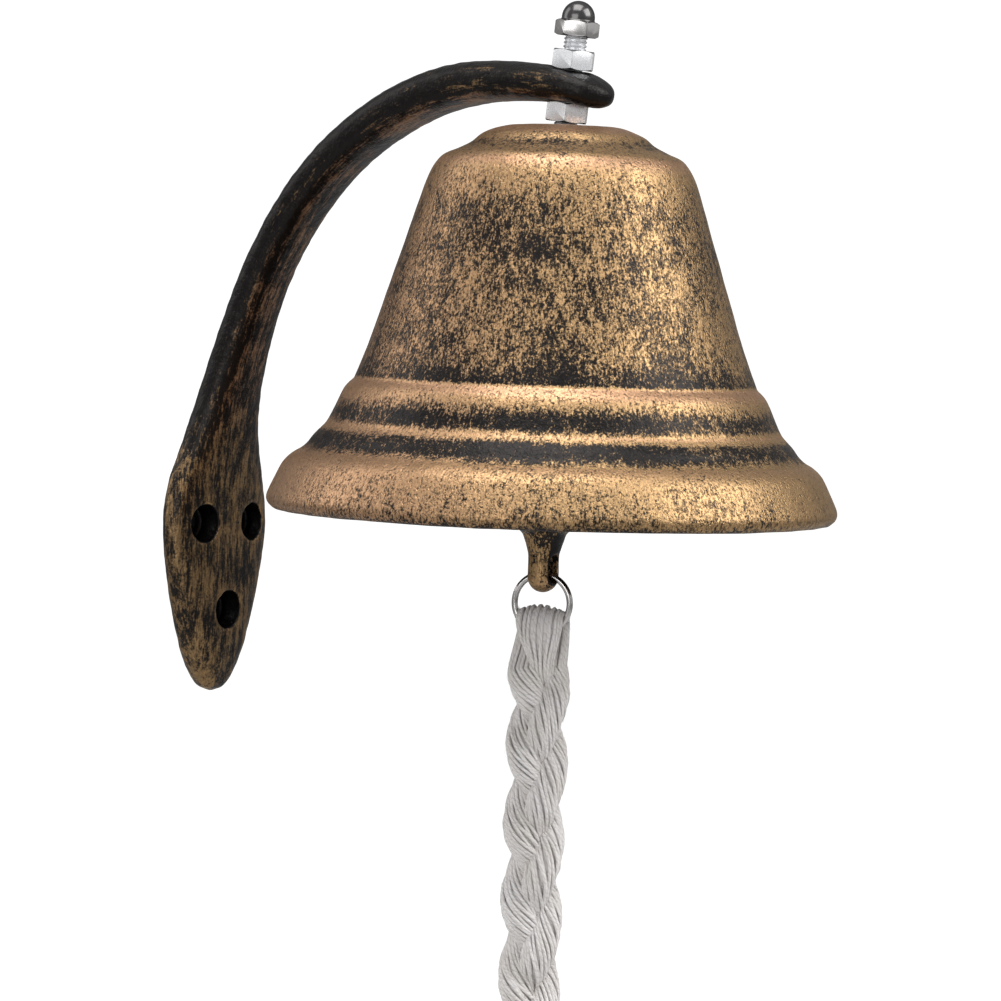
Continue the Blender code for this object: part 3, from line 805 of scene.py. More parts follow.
# The arm: distance out as a share of the reach, height as a share of the arm end's, half width, half depth.
SWEEP = (
    (0.054, 0.193, 1.54, 1.11),
    (0.078, 0.307, 1.18, 1.04),
    (0.127, 0.461, 0.98, 0.98),
    (0.192, 0.607, 0.96, 0.93),
    (0.290, 0.750, 0.98, 0.96),
    (0.410, 0.865, 1.00, 0.99),
    (0.558, 0.952, 1.00, 1.04),
    (0.705, 1.000, 1.00, 1.03),
    (0.854, 1.012, 1.03, 0.93),
)
# The nose: distance past the stud as a share of its length, half width and half depth as shares of the end's.
NOSE = ((0.61, 0.80, 0.84), (0.90, 0.42, 0.54), (1.00, 0.10, 0.24))
NOSE_DROOP = 0.27
SECTION_POWER = 2.5


def bracket_line(sizes, steps=4):
    """Places and half sizes of the casting's sections, from the plate's tip up the arm to the nose."""
    arm_end = STUD @ Vector((0, 0, (ARM_UNDER_AT + ARM_TOP_AT) / 2))
    rows = [
        (Vector((0, -sizes.plate_out, up * sizes.plate_drop)), wide * sizes.plate_half_width, deep * sizes.plate_half_depth)
        for up, wide, deep in LEAF
    ]
    rows += [
        (Vector((0, -out * REACH, up * arm_end.z)), wide * sizes.arm_half_width, deep * sizes.arm_half_depth)
        for out, up, wide, deep in SWEEP
    ]
    end_half_depth = (ARM_TOP_AT - ARM_UNDER_AT) / 2 + 0.0006
    rows.append((arm_end, sizes.arm_end_half_width, end_half_depth))
    for along, wide, deep in NOSE:
        place = arm_end + Vector((0, -along * sizes.nose_length, -along * sizes.nose_length * NOSE_DROOP))
        rows.append((place, wide * sizes.arm_end_half_width, deep * end_half_depth))
    places = through([place for place, _, _ in rows], steps)
    halves = through([(wide, deep, 0) for _, wide, deep in rows], steps)
    return places, halves


def section_of(place, forward, half, sides):
    """One rounded section of the casting, square to the way it runs."""
    inward = Vector((0, -forward.z, forward.y))
    ring = []
    for i in range(sides):
        turn = 2 * math.pi * i / sides
        across = math.copysign(abs(math.cos(turn)) ** (2 / SECTION_POWER), math.cos(turn))
        deep = math.copysign(abs(math.sin(turn)) ** (2 / SECTION_POWER), math.sin(turn))
        ring.append(place + Vector((half.x * across, 0, 0)) + inward * half.y * deep)
    return ring


def extruded_casting(name, places, halves, sides=48):
    """A round face extruded from section to section along the line, each shaped as it comes."""
    lay_down()
    bpy.ops.mesh.primitive_circle_add(vertices=sides, radius=0.01, fill_type="NGON", location=(0, 0, 0))
    obj = named(name)
    bpy.ops.object.mode_set(mode="EDIT")
    bpy.ops.mesh.select_mode(type="FACE")
    bpy.ops.mesh.select_all(action="SELECT")
    for i, (place, half) in enumerate(zip(places, halves)):
        forward = (places[min(i + 1, len(places) - 1)] - places[max(i - 1, 0)]).normalized()
        if i:
            bpy.ops.mesh.extrude_region_move(TRANSFORM_OT_translate={"value": place - places[i - 1]})
        shape = bmesh.from_edit_mesh(obj.data)
        end = next(face for face in shape.faces if face.select)
        for vert, target in zip(end.verts, section_of(place, forward, half, sides)):
            vert.co = target
        bmesh.update_edit_mesh(obj.data)
    bpy.ops.mesh.select_all(action="SELECT")
    bpy.ops.mesh.normals_make_consistent(inside=False)
    lay_down()
    return obj


def drill(radius, low, high, sides=64):
    """A cutter on the stud's axis."""
    lay_down()
    bpy.ops.mesh.primitive_cylinder_add(vertices=sides, radius=radius, depth=high - low, location=(0, 0, (low + high) / 2))
    return placed(named("drill"), STUD @ Matrix.Translation((0, 0, (low + high) / 2)))


def wall_drill(x, z, radius, near, far, sides=48):
    """A cutter square to the wall."""
    lay_down()
    bpy.ops.mesh.primitive_cylinder_add(vertices=sides, radius=radius, depth=far - near)
    return placed(named("wall_drill"), Matrix.Translation((x, -(near + far) / 2, z)) @ Matrix.Rotation(math.pi / 2, 4, "X"))


def mark_lay(obj, places):
    """Stores each point's distance along the casting, across it and through it."""
    line = np.array(places)
    run = np.r_[0, np.cumsum(np.linalg.norm(np.diff(line, axis=0), axis=1))]
    points = points_of(obj)
    nearest = np.empty(len(points), int)
    for start in range(0, len(points), 4096):
        part = points[start : start + 4096]
        away = (part[:, None, 1] - line[None, :, 1]) ** 2 + (part[:, None, 2] - line[None, :, 2]) ** 2
        nearest[start : start + 4096] = away.argmin(1)
    after = np.minimum(nearest + 1, len(line) - 1)
    before = np.maximum(nearest - 1, 0)
    forward = line[after] - line[before]
    forward /= np.linalg.norm(forward, axis=1)[:, None]
    off = points - line[nearest]
    along = run[nearest] + (off * forward).sum(1)
    deep = off[:, 1] * -forward[:, 2] + off[:, 2] * forward[:, 1]
    lay = obj.data.attributes.new("lay", "FLOAT_VECTOR", "POINT")
    lay.data.foreach_set("vector", np.stack([along, points[:, 0], deep], 1).astype(np.float32).ravel())


def mark_recesses(obj, sizes):
    """Stores which points lie inside the screw recesses."""
    points = points_of(obj)
    half = sizes.screw_spacing / 2
    sunk = np.zeros(len(points))
    for x, z in ((-half, 0), (half, 0), (0, -sizes.screw_drop)):
        away = np.hypot(points[:, 0] - x, points[:, 2] - z)
        sunk = np.maximum(sunk, np.clip((sizes.recess_radius + 0.0004 - away) / 0.0006, 0, 1))
    recess = obj.data.attributes.new("recess", "FLOAT", "POINT")
    recess.data.foreach_set("value", sunk.astype(np.float32))


class WALLBELL_OT_bracket(bpy.types.Operator):
    """Casts the wall plate and its swept arm in one piece"""

    bl_idname = "wallbell.bracket"
    bl_label = "Wall bracket"

    def execute(self, context):
        sizes = context.scene.bell_bracket
        places, halves = bracket_line(sizes)
        bracket = extruded_casting("cast_bracket", places, halves)
        pick_up(bracket)
        bpy.ops.object.mode_set(mode="EDIT")
        bpy.ops.mesh.select_all(action="SELECT")
        bpy.ops.mesh.bisect(plane_co=(0, 0, 0), plane_no=(0, 1, 0), use_fill=True, clear_outer=True)
        lay_down()
        half = sizes.screw_spacing / 2
        for x, z in ((-half, 0), (half, 0), (0, -sizes.screw_drop)):
            joined(bracket, wall_drill(x, z, sizes.recess_radius, sizes.recess_floor, 0.04))
            joined(bracket, wall_drill(x, z, sizes.screw_radius, -0.02, 0.02))
        joined(bracket, drill(0.0042, ARM_UNDER_AT - 0.01, ARM_TOP_AT + 0.01))
        joined(bracket, drill(0.0082, LOWER_NUT_AT, ARM_UNDER_AT))
        joined(bracket, drill(0.0082, ARM_TOP_AT, ARM_TOP_AT + 0.0064))
        cast_skin(bracket, sizes.skin, 6, 0.00035, 0.0042, 1)
        mark_crests(bracket, 40, 0.0005)
        mark_lay(bracket, through(places, 3))
        mark_recesses(bracket, sizes)
        material = rubbed_material(
            "aged_black_bronze",
            bracket_strokes,
            bracket_rubbing,
            bracket_warmth,
            cloud_pull=0.55,
            stroke_pull=1.05,
            cloud_size=17.0,
            sharpness=0.16,
            shade=0.68,
        )
        finished(bracket, material, "bracket", "aged_bracket", "wall_bracket")
        return {"FINISHED"}


# ---- Bell ------------------------------------------------------------------------------------------------------

# Outside of the bell, crown to rim: radius as a share of the mouth's, height as a share of the bell's.
OUTLINE = (
    (0.130, 1.000),
    (0.204, 0.996),
    (0.279, 0.977),
    (0.322, 0.952),
    (0.370, 0.934),
    (0.424, 0.914),
    (0.464, 0.870),
    (0.500, 0.794),
    (0.542, 0.694),
    (0.596, 0.571),
    (0.654, 0.438),
    (0.702, 0.345),
    (0.708, 0.336),
    (0.727, 0.323),
    (0.745, 0.304),
    (0.775, 0.255),
    (0.787, 0.236),
    (0.801, 0.219),
    (0.823, 0.202),
    (0.842, 0.187),
    (0.861, 0.168),
    (0.884, 0.153),
    (0.911, 0.141),
    (0.935, 0.126),
    (0.953, 0.107),
    (0.982, 0.063),
    (1.000, 0.030),
    (0.996, 0.012),
    (0.980, 0.000),
)
# The same surface without its ridges, from which the inside is set off by the wall.
PLAIN_LINE = (
    (0.204, 0.998),
    (0.279, 0.977),
    (0.345, 0.946),
    (0.424, 0.914),
    (0.464, 0.870),
    (0.500, 0.794),
    (0.542, 0.694),
    (0.596, 0.571),
    (0.654, 0.438),
    (0.702, 0.340),
    (0.745, 0.270),
    (0.800, 0.195),
    (0.870, 0.115),
    (0.980, 0.000),
)


# How much bronze the rubbing leaves, rim to crown: height as a share of the bell's, share of bronze.
RUBBED = (
    (0.000, 0.30),
    (0.015, 0.64),
    (0.070, 0.69),
    (0.125, 0.84),
    (0.148, 0.90),
    (0.160, 0.45),
    (0.175, 0.10),
    (0.200, 0.16),
    (0.214, 0.85),
    (0.224, 0.95),
    (0.236, 0.28),
    (0.258, 0.10),
    (0.278, 0.40),
    (0.300, 0.82),
    (0.322, 0.96),
    (0.338, 1.00),
    (0.347, 0.16),
    (0.362, 0.24),
    (0.390, 0.42),
    (0.440, 0.50),
    (0.620, 0.53),
    (0.760, 0.52),
    (0.850, 0.72),
    (0.905, 0.98),
    (0.932, 0.72),
    (0.950, 0.46),
    (0.968, 0.80),
    (0.985, 1.00),
    (1.000, 1.00),
)


def mark_rubbing(obj, low, height):
    """Stores the share of bronze by height on the outside; the inside keeps its ground coat."""
    place = points_of(obj)
    normal = points_of(obj, "normal")
    heights, shares = zip(*RUBBED)
    amount = np.interp((place[:, 2] - low) / height, heights, shares)
    outward = normal[:, 0] * place[:, 0] + normal[:, 1] * (place[:, 1] - BELL_AXIS_Y)
    inside = (outward < 0) | ((normal[:, 2] < -0.5) & (place[:, 2] > low + 0.002))
    amount = np.where(inside, 0.12, amount)
    rub = obj.data.attributes.new("rub", "FLOAT", "POINT")
    rub.data.foreach_set("value", amount.astype(np.float32))


def evened(points, spacing):
    """Points this far apart along a line."""
    line = np.array([(p[0], p[1]) for p in points])
    run = np.r_[0, np.cumsum(np.linalg.norm(np.diff(line, axis=0), axis=1))]
    wanted = np.linspace(0, run[-1], max(2, round(run[-1] / spacing) + 1))
    return list(zip(np.interp(wanted, run, line[:, 0]), np.interp(wanted, run, line[:, 1])))


class WALLBELL_OT_bell(bpy.types.Operator):
    """Turns the bell, with its crown, ridges, flared lip and hollow inside"""

    bl_idname = "wallbell.bell"
    bl_label = "Bell"

    def execute(self, context):
        sizes = context.scene.bell_bell
        outside = through([(sizes.mouth_radius * r, sizes.height * h, 0) for r, h in OUTLINE], 8)
        plain = through([(sizes.mouth_radius * r, sizes.height * h, 0) for r, h in PLAIN_LINE], 6)
        inside = []
        for before, here, after in zip(plain, plain[1:], plain[2:]):
            run = (after - before).normalized()
            inside.append(here - sizes.wall * Vector((-run.y, run.x, 0)))
        inside = [p for p in inside if p.x > 0.0125 and p.y > 0.0006]
        ceiling = sizes.height - sizes.wall
        profile = [(sizes.hole_radius, ceiling + 0.0006), (sizes.hole_radius, sizes.height - 0.0004)]
        profile += evened([(sizes.hole_radius + 0.0004, sizes.height), *outside], 0.00085)
        profile += [(inside[-1].x + 0.0012, 0.0), (inside[-1].x + 0.0004, 0.0003)]
        profile += evened(list(reversed(inside)), 0.0024)
        profile += [(0.0112, ceiling), (sizes.hole_radius + 0.0005, ceiling), (sizes.hole_radius, ceiling + 0.0006)]
        bell = turned("bronze_bell", profile, sizes.steps)
        placed(bell, Matrix.Translation((0, BELL_AXIS_Y, BELL_LOW.z)))
        lumps = bpy.data.textures.new("bell_lumps", "CLOUDS")
        lumps.noise_scale = 0.011
        lumps.noise_depth = 1
        applied(bell, "DISPLACE", texture=lumps, strength=0.00035, mid_level=0.5, texture_coords="LOCAL")
        mark_rubbing(bell, BELL_LOW.z, sizes.height)
        smoothed(bell, 50)
        material = rubbed_material(
            "brushed_bronze_over_black", bell_strokes, bell_rubbing, bell_painted_highlight, cloud_pull=0.26, stroke_pull=0.42, cloud_size=22.0, sharpness=0.10
        )
        finished(bell, material, "bell", "bell_bronze", "bell")
        return {"FINISHED"}


# ---- Stud and nuts ---------------------------------------------------------------------------------------------


def hexagon(name, flats, height, turn=0.0):
    """A hexagonal blank on the origin with its corners turned off at both faces."""
    lay_down()
    corner = flats / math.sqrt(3)
    bpy.ops.mesh.primitive_cylinder_add(vertices=6, radius=corner, depth=height, location=(0, 0, height / 2), rotation=(0, 0, turn))
    blank = placed(named(name), Matrix.Translation((0, 0, height / 2)) @ Matrix.Rotation(turn, 4, "Z"))
    slope = (corner - flats / 2) * math.tan(math.radians(30))
    past = corner + 0.0004
    fall = (past - flats / 2) / (corner - flats / 2) * slope
    washer_face = flats / 2 - 0.0001
    lathe = turned(
        "corner_lathe",
        [(0, height), (washer_face, height), (past, height - fall), (past, fall), (washer_face, 0), (0, 0)],
        96,
    )
    return joined(blank, lathe, "INTERSECT")


def countersunk(radius, height):
    """A cutter for a nut's bore, opened at both ends."""
    wide = radius + 0.0006
    return turned(
        "bore",
        [(0, height + 0.001), (wide + 0.001, height + 0.001), (radius, height - 0.0006), (radius, 0.0006), (wide + 0.001, -0.001), (0, -0.001)],
        48,
    )


def mark_painted_dark_edges(obj, width):
    """Stores 1 on the narrow faces that ease the edges, which get a painted dark reflection against the flats."""
    crest = obj.data.attributes.new("crest", "FLOAT", "FACE")
    narrow = []
    for face in obj.data.polygons:
        corners = [obj.data.vertices[i].co for i in face.vertices]
        sides = [(a - b).length for a, b in zip(corners, corners[1:] + corners[:1])]
        strip = sorted(sides)[1] < width if len(corners) == 4 else 2 * face.area / sum(sides) < width / 2
        narrow.append(float(strip))
    crest.data.foreach_set("value", np.array(narrow, np.float32))


def eased(obj, width, degrees=25):
    """Takes the sharpness off the piece's edges."""
    applied(obj, "BEVEL", width=width, segments=2, limit_method="ANGLE", angle_limit=math.radians(degrees))
    smoothed(obj, 28)
    mark_painted_dark_edges(obj, width * 2.2)
    return obj


class WALLBELL_OT_nuts(bpy.types.Operator):
    """Makes the three plain nuts, the washer under the crown and the cap nut"""

    bl_idname = "wallbell.nuts"
    bl_label = "Nuts"

    def execute(self, context):
        sizes = context.scene.bell_hardware
        for name, node, at in (
            ("upper_nut", "arm_upper_nut", UPPER_NUT_AT),
            ("lower_nut", "arm_lower_nut", LOWER_NUT_AT),
            ("seat_nut", "bell_seat_nut", SEAT_NUT_AT),
        ):
            nut = hexagon(name, sizes.nut_flats, sizes.nut_height)
            joined(nut, countersunk(sizes.thread_radius + 0.0003, sizes.nut_height))
            eased(nut, 0.00034)
            placed(nut, STUD @ Matrix.Translation((0, 0, at)))
            finished(nut, zinc(), "bracket", "zinc", node)
        self.cap(sizes)
        self.washer(sizes)
        return {"FINISHED"}

    def cap(self, sizes):
        cap = hexagon("cap_nut_dome", sizes.cap_flats, 0.0052, sizes.cap_turn)
        middle = sizes.cap_height - sizes.dome_radius
        dome = turned(
            "dome",
            [*reversed(arc((0, middle), sizes.dome_radius, 0, 90, 24))]
            + [(sizes.dome_radius, 0.0056), (sizes.dome_radius + 0.0002, 0.0053), (sizes.dome_radius + 0.0004, 0.0051)]
            + [(sizes.dome_radius + 0.0004, 0.002), (0, 0.002)],
            64,
        )
        joined(cap, dome, "UNION")
        depth = sizes.cap_height - 0.0026
        bore = turned("blind_bore", [(0, depth), (0.0042, depth), (0.0042, 0.0006), (0.0060, -0.001), (0, -0.001)], 48)
        joined(cap, bore)
        eased(cap, 0.00026)
        placed(cap, STUD @ Matrix.Translation((0, 0, CAP_AT)))
        finished(cap, chrome(), "bracket", "chrome", "cap_nut")

    def washer(self, sizes):
        low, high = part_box("bell_seat_washer")
        hole = sizes.thread_radius + 0.0014
        thick = high.z - low.z
        wide = (high.x - low.x) / 2
        washer = turned(
            "seat_washer", [(hole, thick), (wide, thick), (wide, 0), (hole, 0), (hole, thick)], 64
        )
        eased(washer, 0.0002)
        placed(washer, Matrix.Translation((0, BELL_AXIS_Y, low.z)))
        finished(washer, zinc(), "bell_seat", "zinc", "bell_seat_washer")


class WALLBELL_OT_stud(bpy.types.Operator):
    """Cuts the threaded stud and forges its eye"""

    bl_idname = "wallbell.stud"
    bl_label = "Eye stud"

    def execute(self, context):
        sizes = context.scene.bell_hardware
        top = CAP_AT + sizes.cap_height - 0.0026 - 0.0003
        thread_end = SEAT_NUT_AT - 0.0010
        rows = round((top - thread_end) / (sizes.pitch / 8))
        heights = [top - (top - thread_end) * i / rows for i in range(rows + 1)]
        profile = [(0, top), *((sizes.thread_radius, z) for z in heights)]
        profile += [(sizes.thread_radius * 0.94, thread_end - 0.0008), (sizes.thread_radius * 0.94, EYE_AT + sizes.eye_radius)]
        profile.append((0, EYE_AT + sizes.eye_radius))
        stud = turned("threaded_stud", profile, 36)
        for vert in stud.data.vertices:
            if vert.co.z >= thread_end and vert.co.xy.length > sizes.thread_radius / 2:
                turn = math.atan2(vert.co.y, vert.co.x) / (2 * math.pi)
                phase = (vert.co.z / sizes.pitch - turn) % 1.0
                depth = min(1.0, max(0.0, 2.4 * abs(phase - 0.5) - 0.1))
                fade = min(1.0, (vert.co.z - thread_end) / sizes.pitch)
                share = 1 - 0.155 * depth * fade
                vert.co.x *= share
                vert.co.y *= share
        lay_down()
        bpy.ops.mesh.primitive_torus_add(
            major_radius=sizes.eye_radius, minor_radius=sizes.eye_wire, major_segments=64, minor_segments=20
        )
        eye = placed(named("eye"), Matrix.Translation((0, 0, EYE_AT)) @ Matrix.Rotation(math.pi / 2, 4, "Y"))
        joined(stud, eye, "UNION")
        smoothed(stud, 60)
        placed(stud, STUD)
        finished(stud, zinc(), "bracket", "zinc", "eye_bolt")
        return {"FINISHED"}


# ---- Link, clapper and ring ------------------------------------------------------------------------------------


def mark_flats(obj, under):
    """Stores which points below this height lie on the scooped flats, which nobody rubs."""
    normal = points_of(obj, "normal")
    facing = np.clip((np.abs(normal[:, 1]) - 0.80) / 0.12, 0, 1)
    low = np.clip((under + 0.002 - points_of(obj)[:, 2]) / 0.001, 0, 1)
    flat = obj.data.attributes.new("recess", "FLOAT", "POINT")
    flat.data.foreach_set("value", (facing * low).astype(np.float32))


class WALLBELL_OT_clapper(bpy.types.Operator):
    """Casts the clapper and bends the link and the pull ring that hang with it"""

    bl_idname = "wallbell.clapper"
    bl_label = "Clapper"

    def execute(self, context):
        sizes = context.scene.bell_clapper
        self.link(sizes)
        self.ring(sizes)
        low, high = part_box("clapper")
        ball_up = BELL_LOW.z + 0.0095
        rod_top = high.z - 0.0066
        flare_up = ball_up - sizes.ball_radius
        stem = sizes.stem_radius
        rod = sizes.rod_radius
        profile = [(0, rod_top), (rod, rod_top), (rod, ball_up + sizes.ball_radius + 3.0 * rod)]
        profile += [(1.12 * rod, ball_up + sizes.ball_radius + 1.2 * rod)]
        profile += arc((0, ball_up), sizes.ball_radius, 70, -58, 28)
        profile += [(1.42 * stem, flare_up + 0.0010), (1.16 * stem, flare_up - 0.0028), (stem, flare_up - 0.0058)]
        profile += [(stem, low.z + stem), *arc((0, low.z + stem), stem, -10, -80, 7), (0, low.z)]
        clapper = turned("cast_clapper", profile, 72)
        placed(clapper, Matrix.Translation((0, HANG_Y, 0)))
        lay_down()
        bpy.ops.mesh.primitive_torus_add(major_radius=0.0055, minor_radius=0.0022, major_segments=56, minor_segments=20)
        eye_up = CLAPPER_PIVOT.z + sizes.link_wire + 0.0006 + 0.0022 - 0.0055
        joined(clapper, placed(named("eye"), Matrix.Translation((0, HANG_Y, eye_up)) @ Matrix.Rotation(math.pi / 2, 4, "Y")), "UNION")
        for way in (-1, 1):
            joined(clapper, self.scoop(way, sizes, flare_up, low.z))
        joined(clapper, self.slot_cutter(low.z))
        cast_skin(clapper, 0.00042, 4, 0.00022, 0.004, 2)
        mark_crests(clapper, 30, 0.0006)
        mark_flats(clapper, BELL_LOW.z)
        material = rubbed_material(
            "brushed_clapper", bell_strokes, clapper_rubbing, crest_painted_highlight, cloud_pull=0.4, stroke_pull=0.4, cloud_size=12.0
        )
        finished(clapper, material, "clapper", "bell_bronze", "clapper")
        return {"FINISHED"}

    def scoop(self, way, sizes, flare_up, tip):
        """A cutter that leaves a flat running up into a hollow under the ball."""
        lay_down()
        side = 0.02
        top = flare_up + 0.0025
        tall = top - tip + 0.004
        middle = HANG_Y + way * (sizes.tab_thickness + side) / 2
        bpy.ops.mesh.primitive_cube_add(size=1, location=(0, middle, top - tall / 2), scale=(side, side, tall))
        cutter = named("scoop")
        placed(cutter, Matrix.Translation((0, middle, top - tall / 2)) @ Matrix.Diagonal((side, side, tall, 1)))
        bpy.ops.object.mode_set(mode="EDIT")
        bpy.ops.mesh.select_mode(type="EDGE")
        bpy.ops.mesh.select_all(action="DESELECT")
        shape = bmesh.from_edit_mesh(cutter.data)
        inner = HANG_Y + way * sizes.tab_thickness / 2
        for edge in shape.edges:
            edge.select = all(abs(v.co.y - inner) < 1e-5 and v.co.z > top - 1e-5 for v in edge.verts)
        bmesh.update_edit_mesh(cutter.data)
        bpy.ops.mesh.bevel(offset=0.0065, segments=10)
        lay_down()
        return cutter

    def slot_cutter(self, tip):
        """A slot with round ends for the pull ring."""
        lay_down()
        half, tall, floor = 0.0027, 0.0095, 0.0032
        bottom = tip + floor + half
        bpy.ops.mesh.primitive_cylinder_add(vertices=48, radius=half, depth=0.02)
        cutter = placed(named("slot"), Matrix.Translation((0, HANG_Y, bottom)) @ Matrix.Rotation(math.pi / 2, 4, "X"))
        for vert in cutter.data.vertices:
            if vert.co.z > bottom + 1e-5:
                vert.co.z += tall - 2 * half
        return cutter

    def link(self, sizes):
        """A closed oval link between the stud's eye and the clapper's."""
        half = 0.00275 + 0.0006 + sizes.link_wire
        lay_down()
        bpy.ops.mesh.primitive_torus_add(major_radius=half, minor_radius=sizes.link_wire, major_segments=64, minor_segments=18)
        link = placed(named("oval_link"), Matrix.Rotation(math.pi / 2, 4, "X"))
        for vert in link.data.vertices:
            if vert.co.z < -1e-6:
                vert.co.z -= 0.0105
        smoothed(link, 60)
        placed(link, Matrix.Translation(LINK_PIVOT))
        finished(link, wire_steel(), "link", "ring_steel", "clapper_link")

    def ring(self, sizes):
        lay_down()
        bpy.ops.mesh.primitive_torus_add(
            major_radius=sizes.ring_radius, minor_radius=sizes.ring_wire, major_segments=120, minor_segments=20
        )
        ring = placed(
            named("wire_ring"),
            Matrix.Translation(RING_CENTRE) @ Matrix.Rotation(RING_YAW, 4, "Z") @ Matrix.Rotation(math.pi / 2, 4, "Y"),
        )
        smoothed(ring, 60)
        finished(ring, wire_steel(), "ring", "ring_steel", "pull_ring")


# ---- Rope ------------------------------------------------------------------------------------------------------


def yarn_mesh(name, lines, radius, sides=6):
    """One mesh of round yarns along these lines, with a UV map that follows each yarn."""
    verts, faces, uvs = [], [], []
    for index, line in enumerate(lines):
        line = np.asarray(line, float)
        run = np.r_[0, np.cumsum(np.linalg.norm(np.diff(line, axis=0), axis=1))] * 1000
        forward = np.gradient(line, axis=0)
        forward /= np.linalg.norm(forward, axis=1)[:, None]
        side = np.cross(forward[0], (0.31, 0.77, 0.55))
        start = len(verts)
        for i, (point, ahead) in enumerate(zip(line, forward)):
            side = side - ahead * (side @ ahead)
            side /= np.linalg.norm(side)
            up = np.cross(ahead, side)
            ending = min(1.0, 0.35 + 0.65 * min(i, len(line) - 1 - i) / 2)
            for k in range(sides):
                turn = 2 * math.pi * k / sides
                verts.append(point + radius * ending * (math.cos(turn) * side + math.sin(turn) * up))
        for i in range(len(line) - 1):
            for k in range(sides):
                a, b = start + i * sides + k, start + i * sides + (k + 1) % sides
                faces.append((a, b, b + sides, a + sides))
                low, high = run[i], run[i + 1]
                left, right = k / sides, (k + 1) / sides
                uvs += [(low, left + index), (low, right + index), (high, right + index), (high, left + index)]
        faces.append(tuple(start + k for k in reversed(range(sides))))
        uvs += [(run[0], index + k / sides) for k in reversed(range(sides))]
        last = start + (len(line) - 1) * sides
        faces.append(tuple(last + k for k in range(sides)))
        uvs += [(run[-1], index + k / sides) for k in range(sides)]
    mesh = bpy.data.meshes.new(name)
    mesh.from_pydata([tuple(v) for v in verts], [], faces)
    layer = mesh.uv_layers.new(name="yarn")
    layer.data.foreach_set("uv", np.array(uvs, np.float32).ravel())
    mesh.shade_smooth()
    obj = bpy.data.objects.new(name, mesh)
    bpy.context.scene.collection.objects.link(obj)
    return obj


def tube_mesh(name, skins):
    """A closed tube whose section at each step is one point from each of these lines."""
    count, steps = len(skins), len(skins[0])
    verts = [tuple(skins[k][i]) for i in range(steps) for k in range(count)]
    faces, uvs = [], []
    for i in range(steps - 1):
        for k in range(count):
            a, b = i * count + k, i * count + (k + 1) % count
            faces.append((a, b, b + count, a + count))
            uvs += [(i, k / 3), (i, (k + 1) / 3), (i + 1, (k + 1) / 3), (i + 1, k / 3)]
    faces += [tuple(reversed(range(count))), tuple((steps - 1) * count + k for k in range(count))]
    uvs += [(0, k / 3) for k in range(count)] * 2
    mesh = bpy.data.meshes.new(name)
    mesh.from_pydata(verts, [], faces)
    mesh.uv_layers.new(name="yarn").data.foreach_set("uv", np.array(uvs, np.float32).ravel())
    mesh.shade_smooth()
    obj = bpy.data.objects.new(name, mesh)
    bpy.context.scene.collection.objects.link(obj)
    pick_up(obj)
    bpy.ops.object.mode_set(mode="EDIT")
    bpy.ops.mesh.select_all(action="SELECT")
    bpy.ops.mesh.normals_make_consistent(inside=False)
    lay_down()
    return obj


def stray_fibres(yarns, count, draw):
    """Short fibres that lift off the yarns and curl."""
    fibres = []
    for _ in range(count):
        yarn = draw.choice(yarns)
        i = draw.randrange(4, len(yarn) - 4)
        ahead = (yarn[i + 2] - yarn[i - 2]).normalized()
        away = Vector((draw.gauss(0, 1), draw.gauss(0, 1), draw.gauss(0, 1))).cross(ahead).normalized()
        length = draw.uniform(0.0010, 0.0026)
        curl = Vector((draw.gauss(0, 1), draw.gauss(0, 1), draw.gauss(0, 1))) * length * 0.22
        start = yarn[i] + away * 0.0004
        lean = ahead * draw.choice((-1, 1))
        fibres.append(
            [
                start,
                start + (away * 0.45 + lean * 0.3) * length + curl * 0.2,
                start + (away * 0.62 + lean * 0.75) * length + curl * 0.7,
                start + (away * 0.60 + lean * 1.1) * length + curl,
            ]
        )
    return fibres


def across_rope(point):
    """A point (along the ring, through the ring, up) in the object's own axes."""
    along, through_, up = point
    return RING_CENTRE * 1.0 + ALONG_RING * along + THROUGH_RING * through_ + Vector((0, 0, up - RING_CENTRE.z))


def ellipse(half_width, half_depth, turn):
    return half_width * math.cos(turn), half_depth * math.sin(turn)


START = 172.0  # degrees through its weave at which the front strand leaves the bend
TWIST_WAY = -1
WEAVE_WAY = 1


